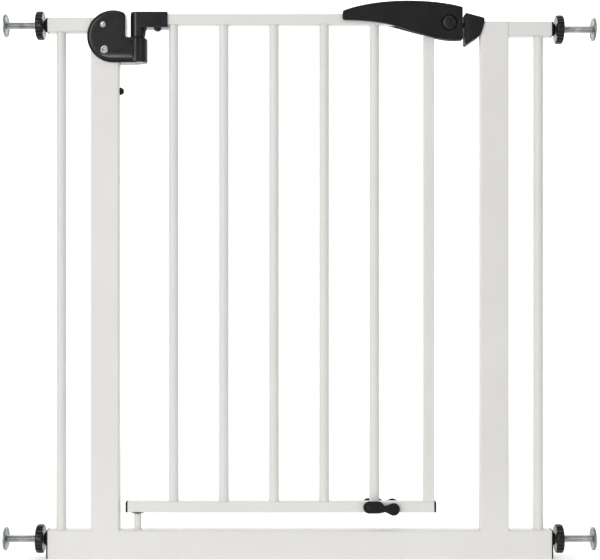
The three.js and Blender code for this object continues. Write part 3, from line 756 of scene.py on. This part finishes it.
def housing_body(name, sign, deep):
    """The bulged half shell, skinned over loops: a rounded edge, a fine rim groove, then the crown."""
    edge = [(0, 4.2), (0.35, 3.3), (1.0, 2.6)]
    groove = [(1.9, 2.3), (2.1, 2.5), (2.4, 2.5)]
    crown = [(2.7, 2.25), (3.4, 1.9), (4.2, 1.65), (5.0, 1.5), (5.8, 1.4)]
    bulge = crown[-1][1] * MM
    loops = [[(x, z, 0) for x, z in housing_outline()]]
    for inset, fall in edge + groove + crown:
        loops.append([(x, z, deep - fall * MM) for x, z in housing_outline(inset * MM)])
    flat = housing_flat()
    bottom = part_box("hinge_housing_front")[0].z
    heart = Vector((flat - 9.5 * MM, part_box("hinge_sleeve")[1].z - 15 * MM))
    rim = [Vector((x, z)) for x, z, _ in loops[-1]]
    for share in (0.9, 0.8, 0.7, 0.6, 0.5, 0.4, 0.3, 0.2, 0.1):
        loops.append([(*(heart + (p - heart) * share), deep - bulge) for p in rim])
    verts = []
    for index, loop in enumerate(loops):
        for x, z, h in loop:
            crease = math.exp(-(((x - flat) / MM + 3.9) / 1.7) ** 2) if index > 6 else 0
            upper = ramp(z, heart.y + 15 * MM, 10 * MM)
            chin = ramp(bottom + 15 * MM, z, 12 * MM) if index > 3 else 0
            verts.append((x, sign * (h - 1.1 * MM * crease * upper - 1.5 * MM * chin * chin), z))
    verts.append((heart.x, sign * (deep - bulge), heart.y))
    count = len(loops[0])
    faces = [tuple(range(count))]
    for k in range(len(loops) - 1):
        faces += strip(k * count, (k + 1) * count, count)
    last = (len(loops) - 1) * count
    faces += fan(list(range(last, last + count)), len(verts) - 1, True)
    return raw(name, verts, faces)


def hinge_lobe(floor, top, sign):
    """Half of the round socket that the shell runs into."""
    x = hinge_axis().x
    profile = [(0, floor + 0.8 * MM), (13 * MM, floor + 0.8 * MM), (14 * MM, floor + 1.8 * MM),
               (14 * MM, top - 3 * MM), (13 * MM, top - 1 * MM), (11 * MM, top), (0, top)]
    lobe = revolve("lobe", profile, "z", (x, 0, 0), 64)
    near, far = both(sign, 0, -0.1)
    return boolean(lobe, [cuboid("other_half", (x - 0.2, near, 0.5), (x + 0.2, far, 1.0))])


def housing_cuts(sign, deep):
    """Room in a half shell for the post, the stub rail, the turning sleeve and the two screws."""
    post_low, post_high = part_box("hinge_post")
    stub_low, stub_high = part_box("hinge_stub_rail")
    sleeve_low, sleeve_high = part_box("hinge_sleeve")
    axis = (hinge_axis().x, 0, 0)
    cuts = [
        cuboid("post_room", (post_low.x - CLEAR, post_low.y - CLEAR, 0.6),
               (post_high.x + CLEAR, post_high.y + CLEAR, post_high.z + CLEAR)),
        cuboid("stub_room", (stub_low.x, stub_low.y - CLEAR, stub_low.z - CLEAR),
               (stub_high.x + 1 * MM, stub_high.y + CLEAR, stub_high.z + CLEAR)),
        disc("socket", 11 * MM, sleeve_low.z - 13 * MM, sleeve_high.z + CLEAR + 2 * MM, "z", axis, 64),
    ]
    for screw, sink in (("housing_screw_upper", 5.6 * MM), ("housing_screw_lower", 6.2 * MM)):
        centre = middle(screw)
        floor = abs(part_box(screw)[0].y) - 3 * MM
        cuts.append(disc("screw_way", 2.6 * MM, -0.03, 0.03, "y", centre, 32))
        cuts.append(disc("screw_sink", sink, *both(sign, floor, deep + 5 * MM), "y", centre, 48))
    return cuts


def housing():
    lobe_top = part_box("hinge_sleeve")[1].z + CLEAR
    for side, sign in SIDES:
        node = f"hinge_housing_{side}"
        low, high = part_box(node)
        deep = max(abs(low.y), abs(high.y))
        shell = housing_body(node + "_shell", sign, deep)
        boolean(shell, [hinge_lobe(low.z, lobe_top, sign)], "UNION")
        boolean(shell, housing_cuts(sign, deep))
        place(smooth(shell, 32), node)
    dome_screw("housing_screw_upper")
    ring_rivet("housing_screw_lower")


def cross_recess(screw, centre, low_y, high_y, length, width):
    """A cross cut into a screw's head between two depths."""
    x, _, z = centre
    for wide, tall in ((length, width), (width, length)):
        boolean(screw, [cuboid("slot", (x - wide, low_y, z - tall), (x + wide, high_y, z + tall))])


def quarter(count):
    """Angles from 0 to a right angle."""
    return [math.pi / 2 * i / count for i in range(count + 1)]


def dome_screw(node):
    """A polished round-headed screw with a cross recess."""
    low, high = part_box(node)
    centre = middle(node)
    head = (high.x - low.x) / 2
    tall = 3 * MM
    seat = low.y + tall
    dome = [(head * math.sin(a), seat - tall * math.cos(a)) for a in quarter(10)]
    shank = 2.2 * MM
    under = seat + 0.3 * MM
    stem = [(head - 0.4 * MM, under), (shank, under), (shank, high.y), (0, high.y)]
    profile = [(0, dome[0][1]), *dome[1:], *stem]
    screw = revolve(node + "_head", profile, "y", centre, 48)
    cross_recess(screw, centre, low.y - 1 * MM, low.y + 1.1 * MM, 2.6 * MM, 0.5 * MM)
    place(smooth(screw, 40), node, look="screw_steel")


def ring_rivet(node):
    """A hollow rivet: a bright rolled rim around a dark bore, seated in a cup washer."""
    low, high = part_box(node)
    outer = (high.x - low.x) / 2
    seat = low.y + 3 * MM
    bore = ((0, 4), (1.9, 4), (2.3, -0.9), (2.9, -1.9), (3.7, -2.1), (4.4, -1.6), (4.7, -0.9))
    profile = [(r * MM, seat + h * MM) for r, h in bore]
    profile += [(outer - 0.3 * MM, seat - 0.6 * MM), (outer, seat - 0.2 * MM), (outer - 0.1 * MM, seat)]
    profile += [(2.4 * MM, seat + 1.6 * MM), (2.4 * MM, high.y), (0, high.y)]
    rivet = revolve(node + "_rim", profile, "y", middle(node), 48)
    place(smooth(rivet, 50), node, look="screw_steel")


def bracket_leg(low_z, high_z, radius, start, end):
    """The arm that grips the rail."""
    outline = [(-radius, low_z), (radius, low_z), (radius, high_z), (-radius, high_z)]
    leg = prism("leg", rounded_polygon(outline, 1.2 * MM), start, end, "x")
    return bevel(leg, 0.5 * MM, 2)


def bracket_web(x, z, radius):
    """The stiffening web in the corner between column and arm."""
    slope = [(radius + 0.4 * MM, -11 * MM), (radius + 1.2 * MM, -4 * MM), (radius + 4 * MM, 1 * MM)]
    corners = [(0, -11 * MM), *slope, (0, 1 * MM)]
    return prism("web", [(x + a, z + b) for a, b in corners], -3.2 * MM, 3.2 * MM)


def bracket():
    low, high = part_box("hinge_bracket")
    rail_low, rail_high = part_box("leaf_top_rail")
    x = hinge_axis().x
    radius = high.y
    leg_bottom = rail_low.z - 4.5 * MM
    foot, head = 0.6 * MM, 0.8 * MM
    profile = [(0, low.z), (radius - foot, low.z), (radius, low.z + foot), (radius, high.z - head),
               (radius - head, high.z), (0, high.z)]
    whole = revolve("hinge_bracket_moulding", profile, "z", (x, 0, 0), 64)
    leg = bracket_leg(leg_bottom, high.z, radius, x, high.x)
    web = bracket_web(x, leg_bottom, radius)
    boss = disc("boss", 5.5 * MM, low.z + 11 * MM, leg_bottom + 1 * MM, "z", (x + 28 * MM, 0, 0))
    boolean(whole, [leg, web, boss], "UNION")
    rail_room = cuboid("rail_room", (rail_low.x - CLEAR, rail_low.y - CLEAR, rail_low.z - CLEAR),
                       (rail_high.x, rail_high.y + CLEAR, rail_high.z + CLEAR))
    pin_room = disc("pin_room", 4.3 * MM, low.z - 2 * MM, rail_low.z, "z", (x, 0, 0))
    boolean(whole, [rail_room, pin_room])
    place(smooth(whole, 32), "hinge_bracket", look="housing_plastic")


def bumper():
    """A rubber dome pressed into the post, which the open leaf meets."""
    low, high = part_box("post_bumper")
    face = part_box("hinge_post")[1].x
    radius = (high.z - low.z) / 2
    stem = 2.5 * MM
    rim = face + 1.4 * MM
    dome = [(radius * math.cos(a), rim + (high.x - rim) * math.sin(a)) for a in quarter(10)[:-1]]
    profile = [(0, low.x), (stem, low.x), (stem, face), (radius - 0.3 * MM, face), (radius, face + 0.3 * MM),
               *dome, (0, high.x)]
    cap = revolve("post_bumper_dome", profile, "x", (0, 0, (low.z + high.z) / 2), 40)
    place(smooth(cap), "post_bumper")


# ---------- latch side
def handle_outline(node):
    """The handle's side: a blunt tip, a long sagging belly, a square end and an arched back."""
    low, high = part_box(node)
    tip, end, top = low.x, high.x, high.z
    z = middle("leaf_top_rail")[2]
    sag = (z - low.z) / MM - 0.5

    def at(from_end, up):
        return (end - from_end * MM, z + up * MM)

    def near_tip(from_tip, up):
        return (tip + from_tip * MM, z + up * MM)

    belly = path(near_tip(0, 1.2),
                 (near_tip(0, -0.6), near_tip(1.6, -1.6), near_tip(4, -1.6), 5),
                 (at(130, -2), at(110, -0.16 * sag), at(86.8, -0.42 * sag), 16),
                 (at(63, -0.68 * sag), at(40, -0.93 * sag), at(20, -sag), 16),
                 (at(13, -sag - 0.7), at(7, -sag - 0.5), at(1.8, -sag + 0.3), 6),
                 (at(0.5, -sag + 0.6), at(0, -sag + 1.2), at(0, -sag + 2.6), 4))
    back = path(at(0, 14.4),
                (at(0, 15.6), at(0.5, 16.3), at(1.8, 16.7), 4),
                (at(23, 22.2), (end - 48 * MM, top), (end - 78 * MM, top), 18),
                ((end - 110 * MM, top), at(144, 20.2), near_tip(2, 11.6), 20),
                (near_tip(0.6, 10.9), near_tip(0, 10), near_tip(0, 8.2), 4))
    return belly + back


def handle_rooms(low, high):
    """Room in a cover for the rail, the stile, the latch works and the bolt."""
    rail_low, rail_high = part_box("leaf_top_rail")
    stile_low, stile_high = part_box("leaf_stile")
    bolt_low, bolt_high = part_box("latch_bolt")
    return [
        cuboid("rail_room", (low.x - 5 * MM, rail_low.y - CLEAR, rail_low.z - CLEAR),
               (rail_high.x + CLEAR, rail_high.y + CLEAR, rail_high.z + CLEAR)),
        cuboid("stile_room", (stile_low.x - CLEAR, stile_low.y - CLEAR, 0.7),
               (stile_high.x + CLEAR, stile_high.y + CLEAR, rail_high.z)),
        cuboid("under_room", (low.x - 5 * MM, rail_low.y - CLEAR, 0.7),
               (stile_high.x, rail_high.y + CLEAR, rail_low.z + 1 * MM)),
        cuboid("works_room", (stile_high.x + 1.8 * MM, -10 * MM, bolt_low.z - 7 * MM),
               (high.x - 2.4 * MM, 10 * MM, bolt_low.z + 13 * MM)),
        cuboid("bolt_way", (high.x - 4 * MM, bolt_low.y - CLEAR, bolt_low.z - CLEAR),
               (high.x + 5 * MM, bolt_high.y + CLEAR, bolt_low.z + 6 * MM + CLEAR)),
    ]


def button_place():
    """The thumb button's centre and radius."""
    low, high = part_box("thumb_button")
    radius = (high.x - low.x) / 2
    return ((low.x + high.x) / 2, 0, low.z + radius), radius


def button_cuts(deep):
    """The button's hole in the front cover and the dish around it."""
    centre, radius = button_place()
    way = disc("button_way", radius + 0.4 * MM, -0.04, -4.2 * MM, "y", centre, 64)
    dish = disc("button_dish", radius + 1.1 * MM, -0.04, -deep + 4.5 * MM, "y", centre, 64)
    return [way, dish]


def handle_screw_cuts(deep):
    """Sunk holes for the two screws in the rear cover."""
    cuts = []
    for screw in HANDLE_SCREWS:
        cuts.append(disc("screw_sink", 3.6 * MM, deep - 3 * MM, 0.04, "y", middle(screw), 32))
        cuts.append(disc("screw_way", 2 * MM, -0.001, 0.04, "y", middle(screw), 24))
    return cuts


def handle():
    seam = 0.25 * MM
    for side, sign in SIDES:
        node = f"handle_{side}_cover"
        low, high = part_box(node)
        deep = max(abs(low.y), abs(high.y))
        shell = prism(node + "_shell", handle_outline(node), *both(sign, seam, deep))
        bevel(shell, 1.5 * MM, 5)
        holes = button_cuts(deep) if side == "front" else handle_screw_cuts(deep)
        boolean(shell, handle_rooms(low, high) + holes)
        place(smooth(shell, 32), node)
    button()
    for screw in HANDLE_SCREWS:
        pan_screw(screw)


def button():
    """A domed cap with the wedge behind it that draws the bolt."""
    low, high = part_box("thumb_button")
    bolt_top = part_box("latch_bolt")[1].z
    centre, radius = button_place()
    x = centre[0]
    back = low.y + 6.9 * MM
    dome = ((0.25, 0.05), (0.45, 0.17), (0.62, 0.38), (0.76, 0.7), (0.87, 1.15), (0.95, 1.75), (0.985, 2.3),
            (1, 3.0))
    profile = [(0, low.y), *((radius * r, low.y + h * MM) for r, h in dome), (radius, back), (0, back)]
    cap = revolve("thumb_button_cap", profile, "y", centre, 64)
    root = low.y + 6.5 * MM
    corners = [(x - 7 * MM, root), (x + 6.6 * MM, root), (x + 6.6 * MM, high.y), (x + 3.4 * MM, high.y)]
    boolean(cap, [prism("wedge", corners, bolt_top - 4.4 * MM, bolt_top, "z")], "UNION")
    place(smooth(cap, 32), "thumb_button", look="black_steel")


def pan_screw(node):
    """A low-headed screw with a cross recess, its head to the rear."""
    low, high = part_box(node)
    centre = middle(node)
    head = (high.x - low.x) / 2
    seat = high.y - 1.8 * MM
    shank = 1.6 * MM
    point = [(0, low.y), (shank * 0.6, low.y), (shank, low.y + 1.5 * MM), (shank, seat)]
    top = [(head, seat), (head, seat + 0.7 * MM), (head * 0.8, seat + 1.4 * MM),
           (head * 0.45, high.y - 0.1 * MM)]
    screw = revolve(node + "_head", [*point, *top, (0, high.y)], "y", centre, 40)
    cross_recess(screw, centre, high.y - 0.9 * MM, high.y + 1 * MM, 1.7 * MM, 0.35 * MM)
    place(smooth(screw, 40), node)


def catch_outline(face, post, z):
    """The catch's side, from the opening's foot round the post to the opening's top."""

    def front(a, b):
        return (face + a * MM, z + b * MM)

    def back(a, b):
        return (post + a * MM, z + b * MM)

    outline = bezier(front(0, -25), front(0, -27.5), front(1.2, -28.2), front(3.6, -27.6), 5)
    outline += bezier(back(-9.5, -21.4), back(-3, -17.7), back(-0.2, -14.4), back(1.6, -11), 8)
    outline += bezier(back(5.4, 1.8), back(6.2, 6.4), back(5.8, 8.8), back(3.4, 9.6), 6)
    outline += bezier(front(4, 15.2), front(1.3, 15.8), front(0, 15), front(0, 13), 5)
    return outline


def catch_cuts(face, bolt_low, bolt_high):
    """Room for the post, the bolt's pocket and the sunk screw."""
    post_low, post_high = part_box("latch_post")
    cap_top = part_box("latch_post_cap")[1].z
    screw_centre = (0, 0, middle("catch_screw")[2])
    gap = 0.6 * MM
    return [
        cuboid("post_room", (post_low.x - CLEAR, post_low.y - CLEAR, 0.6),
               (post_low.x + 0.04, post_high.y + CLEAR, cap_top + CLEAR)),
        cuboid("pocket", (face - 5 * MM, bolt_low.y - gap, bolt_low.z - gap),
               (bolt_high.x + 2.5 * MM, bolt_high.y + gap, bolt_low.z + 14.6 * MM)),
        disc("screw_sink", 4.3 * MM, face - 5 * MM, face + 4 * MM, "x", screw_centre, 32),
    ]


def catch():
    low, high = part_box("catch_body")
    bolt_low, bolt_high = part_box("latch_bolt")
    z = bolt_low.z + 3 * MM
    face = low.x
    deep = high.y
    body = prism("catch_moulding", catch_outline(face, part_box("latch_post")[0].x, z), -deep, deep)
    bevel(body, 1.4 * MM, 4, 40)
    before = face - 2 * MM
    for sign in (-1, 1):
        outside, inside = sign * (deep + 2 * MM), sign * (deep - 2.6 * MM)
        chamfer = [(before, outside), (face + 6.5 * MM, outside), (face + 5.0 * MM, sign * deep),
                   (face, inside), (before, inside)]
        boolean(body, [prism("chamfer", chamfer, z - 0.05, z + 0.05, "z")])
    boolean(body, catch_cuts(face, bolt_low, bolt_high))
    place(smooth(body, 32), "catch_body")


# ---------- wall fixings
WHEEL_RIBS = 22
# The hand wheel's section, as (radius, height) for a wheel of this radius and thickness.
WHEEL_RADIUS, WHEEL_THICK = 20, 10
WHEEL_SECTION = [(5.6, 0.4), (10.5, 0.4), (11.5, 0), (17.6, 0), (18.6, 0.15), (19.4, 0.7), (19.85, 1.5),
                 (20, 2.5), (20, 7.5), (19.85, 8.5), (19.4, 9.3), (18.6, 9.85), (17.6, 10), (12.4, 10),
                 (11.6, 9.2), (11.0, 6.5), (5.6, 6.5)]


def thread(name, low, high, centre, radius, pitch, depth):
    """A rod with a true helical thread along X."""
    sides, per_turn = 24, 6
    count = int((high - low) / pitch * per_turn) + 1
    verts, faces = [], []
    for i in range(count + 1):
        x = low + (high - low) * i / count
        near_end = min(i, count - i) / per_turn
        for k in range(sides):
            angle = 2 * math.pi * k / sides
            phase = ((x - low) / pitch - k / sides) % 1
            cut = depth * ramp(abs(phase * 2 - 1), 0.15, 0.7)
            r = radius - max(cut, depth * max(0, 1 - near_end))
            verts.append((x, centre[1] + r * math.cos(angle), centre[2] + r * math.sin(angle)))
    for i in range(count):
        faces += strip(i * sides, (i + 1) * sides, sides)
    faces.append(tuple(range(sides)))
    faces.append(tuple(range(count * sides, (count + 1) * sides)))
    return raw(name, verts, faces)


def wall_pad(name, centre, sign):
    """A pressed steel pad, flat to the wall, with a rolled edge and a raised middle behind."""
    node = f"wall_pad_{name}"
    low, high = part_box(node)
    out = high.x if sign > 0 else low.x
    radius = (high.z - low.z) / 2
    thick = high.x - low.x
    edge = [(1.4, 0), (0.5, 0.25), (0, 0.9)]
    back_edge = [(0, 0.9), (0.4, 0.3), (1.2, 0), (2.2, 0.2), (3, 1.0)]
    raised = [(9.5, 1.3), (8, 1.0), (7, 0.2), (5.9, 0)]
    section = [(0, 0), *((radius - a * MM, h * MM) for a, h in edge)]
    section += [(radius - a * MM, thick - h * MM) for a, h in back_edge]
    section += [(r * MM, thick - h * MM) for r, h in raised]
    section.append((0, thick))
    pad = revolve(f"wall_pad_disc_{name}", [(r, out - sign * h) for r, h in section], "x", centre, 64)
    # The pad's darker zinc copy is painted shade.
    place(smooth(pad, 50), node, look="pad_steel")


def grip(angle, index):
    """The share of its radius that the wheel's rim keeps: rounded grooves that die out at the edges."""
    first, last, depth = 4, 11, 0.075
    if not first <= index <= last:
        return 1
    rise = ramp(math.cos(angle * WHEEL_RIBS), 0.05, 0.5)
    share = 0.5 if index in (first, last) else 1
    return 1 - depth * share * rise * rise * (3 - 2 * rise)


def hand_wheel(name, centre, sign):
    """A ribbed plastic wheel with a zinc nut set in its outer face."""
    node = f"hand_wheel_{name}"
    low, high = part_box(node)
    inner = low.x if sign > 0 else high.x
    scale = (high.z - low.z) / 2 / WHEEL_RADIUS
    thick = (high.x - low.x) / WHEEL_THICK
    section = [(r * scale, inner + sign * h * thick) for r, h in WHEEL_SECTION]
    wheel = revolve(f"grip_wheel_{name}", section, "x", centre, WHEEL_RIBS * 10, grip)
    place(smooth(wheel, 38), node)
    nut(name, centre, inner + sign * 6.5 * MM, inner + sign * 10.6 * MM)


def wall_fixing(name, sign):
    """One corner's rod, pad, hand wheel with its nut, and the bush in the tube's end."""
    rod_low, rod_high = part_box(f"threaded_rod_{name}")
    centre = (0, 0, (rod_low.z + rod_high.z) / 2)
    rod = thread(f"screw_thread_{name}", rod_low.x, rod_high.x, centre, 5 * MM, 1.5 * MM, 0.55 * MM)
    place(smooth(rod, 75, False), f"threaded_rod_{name}")
    wall_pad(name, centre, sign)
    hand_wheel(name, centre, sign)
    bush(name, centre, sign)


def hexagon(angle):
    """The nut's radius at an angle, 17 mm across its flats."""
    sixth = math.pi / 3
    flat = 17 * MM / math.sqrt(3) * math.cos(sixth / 2)
    return flat / math.cos((angle + sixth / 2) % sixth - sixth / 2)


def nut(name, centre, start, end):
    """A zinc hexagon nut set in the wheel, chamfered on its outer face."""
    lean = 0.8 * MM * (1 if end > start else -1)
    sides = 48
    turns = [2 * math.pi * k / sides for k in range(sides)]
    bore = [5.5 * MM] * sides
    flats = [hexagon(a) for a in turns]
    face = [min(radius, 8.3 * MM) for radius in flats]
    rows = [(bore, start), (flats, start), (flats, end - lean), (face, end), (bore, end)]
    verts, faces = [], []
    for radii, x in rows:
        verts += [(x, r * math.cos(a), centre[2] + r * math.sin(a)) for r, a in zip(radii, turns)]
    for row in range(len(rows)):
        faces += strip(row * sides, (row + 1) % len(rows) * sides, sides)
    piece = raw(f"wheel_nut_{name}", verts, faces)
    place(smooth(piece, 28), (), "zinc_steel", f"wheel_{name}")


def bush(name, centre, sign):
    """A plastic bush in a tube's end: a cap over the cut edge, a plug inside and a boss for the wheel."""
    node = f"tube_bush_{name}"
    low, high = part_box(node)
    post = "hinge" if sign < 0 else "latch"
    rail = "bottom_rail" if name.startswith("bottom") else f"{post}_stub_rail"
    tube_low, tube_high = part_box(rail)
    face = tube_high.x if sign > 0 else tube_low.x
    out, back = (high.x, low.x) if sign > 0 else (low.x, high.x)
    mid_y, mid_z = (tube_low.y + tube_high.y) / 2, (tube_low.z + tube_high.z) / 2
    half_y, half_z = (tube_high.y - tube_low.y) / 2, (tube_high.z - tube_low.z) / 2

    def slab(title, inset, corner, points, start, end):
        outline = rectangle(half_y - inset, half_z - inset, corner, points)
        return prism(title, [(mid_y + a, mid_z + b) for a, b in outline], *sorted((start, end)), "x")

    flange = slab(node + "_cap", 0, 2.4 * MM, 6, face, face + sign * 2 * MM)
    bevel(flange, 0.6 * MM, 3)
    plug = slab("plug", 1.6 * MM, 1 * MM, 2, back, face + sign * 0.5 * MM)
    radius = half_y - 0.8 * MM
    profile = [(0, face), (radius, face), (radius, face + sign * 2.4 * MM),
               (radius - 0.9 * MM, out - sign * 0.5 * MM), (radius - 1.4 * MM, out), (0, out)]
    boss = revolve("boss", profile, "x", centre, 48)
    boolean(flange, [plug, boss], "UNION")
    boolean(flange, [disc("bore", 5.4 * MM, -0.5, 0.5, "x", centre, 48)])
    place(smooth(flange, 32), node)


# ---------- leaf trim and stopper
def end_caps():
    """The black caps on the ends of the leaf's bottom rail."""
    for side, sign in (("hinge", -1), ("latch", 1)):
        node = f"leaf_cap_{side}_end"
        low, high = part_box(node)
        out = high.x if sign > 0 else low.x
        face = out - sign * 2.8 * MM
        half = (high.z - low.z) / 2
        outline = [(a, middle(node)[2] + b) for a, b in rectangle(half, half, 1.8 * MM)]
        cap = prism(node + "_moulding", outline, *sorted((face, out)), "x")
        bevel(cap, 0.9 * MM, 4)
        place(smooth(cap, 32), node)


def toggle_outline(droop):
    """A bone shape: a round end about the rivet, a waist, and a round tip that hangs lower by droop."""
    x, _, z = middle("toggle_rivet")
    end_radius, tip_radius, reach = 8.4 * MM, 8.7 * MM, 34.1 * MM
    tip = (x + reach, z - droop)

    def waist(across, from_tip):
        return (x + across * MM, tip[1] + from_tip * MM)

    low, high = z - end_radius, z + end_radius
    points = arc(x, z, end_radius, 90, 270, 20)
    points += bezier((x + 11 * MM, low), (x + 16 * MM, low), waist(19, -4.4), waist(22.5, -3.8), 8)
    points += arc(tip[0], tip[1], tip_radius, -126, 126, 28)
    points += bezier(waist(22.5, 5.0), waist(19, 5.4), (x + 18.6 * MM, high), (x + 13 * MM, high), 8)
    return points, (x, z), tip


def toggle_pip(outer, sign, pivot):
    """A small raised button beside the rivet."""
    rise = ((0, -1), (4.4, -1), (4.2, 0.2), (3.2, 0.9), (1.5, 1.2), (0, 1.25))
    profile = [(r * MM, outer + sign * h * MM) for r, h in rise]
    return revolve("pip", profile, "y", (pivot[0] + 9.6 * MM, 0, pivot[1] - 0.3 * MM), 40)


def stopper():
    """The two toggles that turn down against the frame's bottom rail."""
    for (side, sign), droop in zip(SIDES, (2.6 * MM, 0.8 * MM)):
        node = f"stopper_toggle_{side}"
        low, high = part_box(node)
        inner, outer = (high.y, low.y) if sign < 0 else (low.y, high.y)
        face = outer - sign * 6 * MM
        points, pivot, tip = toggle_outline(droop)
        centre, tip_centre = (pivot[0], 0, pivot[1]), (tip[0], 0, tip[1])
        body = prism(node + "_moulding", points, *sorted((face, outer)))
        bevel(body, 1.9 * MM, 5, 50)
        boss = disc("boss", 5 * MM, *sorted((inner, face + sign * 1 * MM)), "y", centre, 40)
        boolean(body, [boss, toggle_pip(outer, sign, pivot)], "UNION")
        dish_depths = sorted((outer - sign * 0.9 * MM, outer + sign * 4 * MM))
        dish = disc("dish", 5.2 * MM, *dish_depths, "y", tip_centre, 48)
        way = disc("way", 2.6 * MM, -0.03, 0.03, "y", centre, 32)
        boolean(body, [dish, way])
        place(smooth(body, 32), node)


def toggle_rivet():
    """One rivet through both toggles and the rail, with a shiny domed head on each side."""
    low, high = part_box("toggle_rivet")
    head = (high.x - low.x) / 2
    rise = 1.7 * MM
    shank = 2.2 * MM
    near, far = low.y + rise, high.y - rise
    dome = [(head * math.sin(a), near - rise * math.cos(a)) for a in quarter(8)[1:]]
    far_dome = [(head * math.cos(a), far + rise * math.sin(a)) for a in quarter(8)[:-1]]
    profile = [(0, low.y), *dome, (shank, near), (shank, far), *far_dome, (0, high.y)]
    rivet = revolve("toggle_rivet_heads", profile, "y", middle("toggle_rivet"), 40)
    place(smooth(rivet, 40), "toggle_rivet")


def hidden_parts():
    """CAD nodes whose shape stays take a better material, and the bolt's spring gets a mesh of its own."""
    for node, piece in NODES.items():
        piece.data.materials.clear()
        look = "black_steel" if node == "bracket_screw" else SLOT_OF[node]
        piece.data.materials.append(MATERIAL[look])
    spring = NODES["bolt_spring"]
    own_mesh(spring)


make_camera()
make_lights()
make_stage()
hidden_parts()
tubes()
welds()
housing()
bracket()
bumper()
handle()
catch()
for fixing, side in ENDS.items():
    wall_fixing(fixing, side)
end_caps()
stopper()
toggle_rivet()
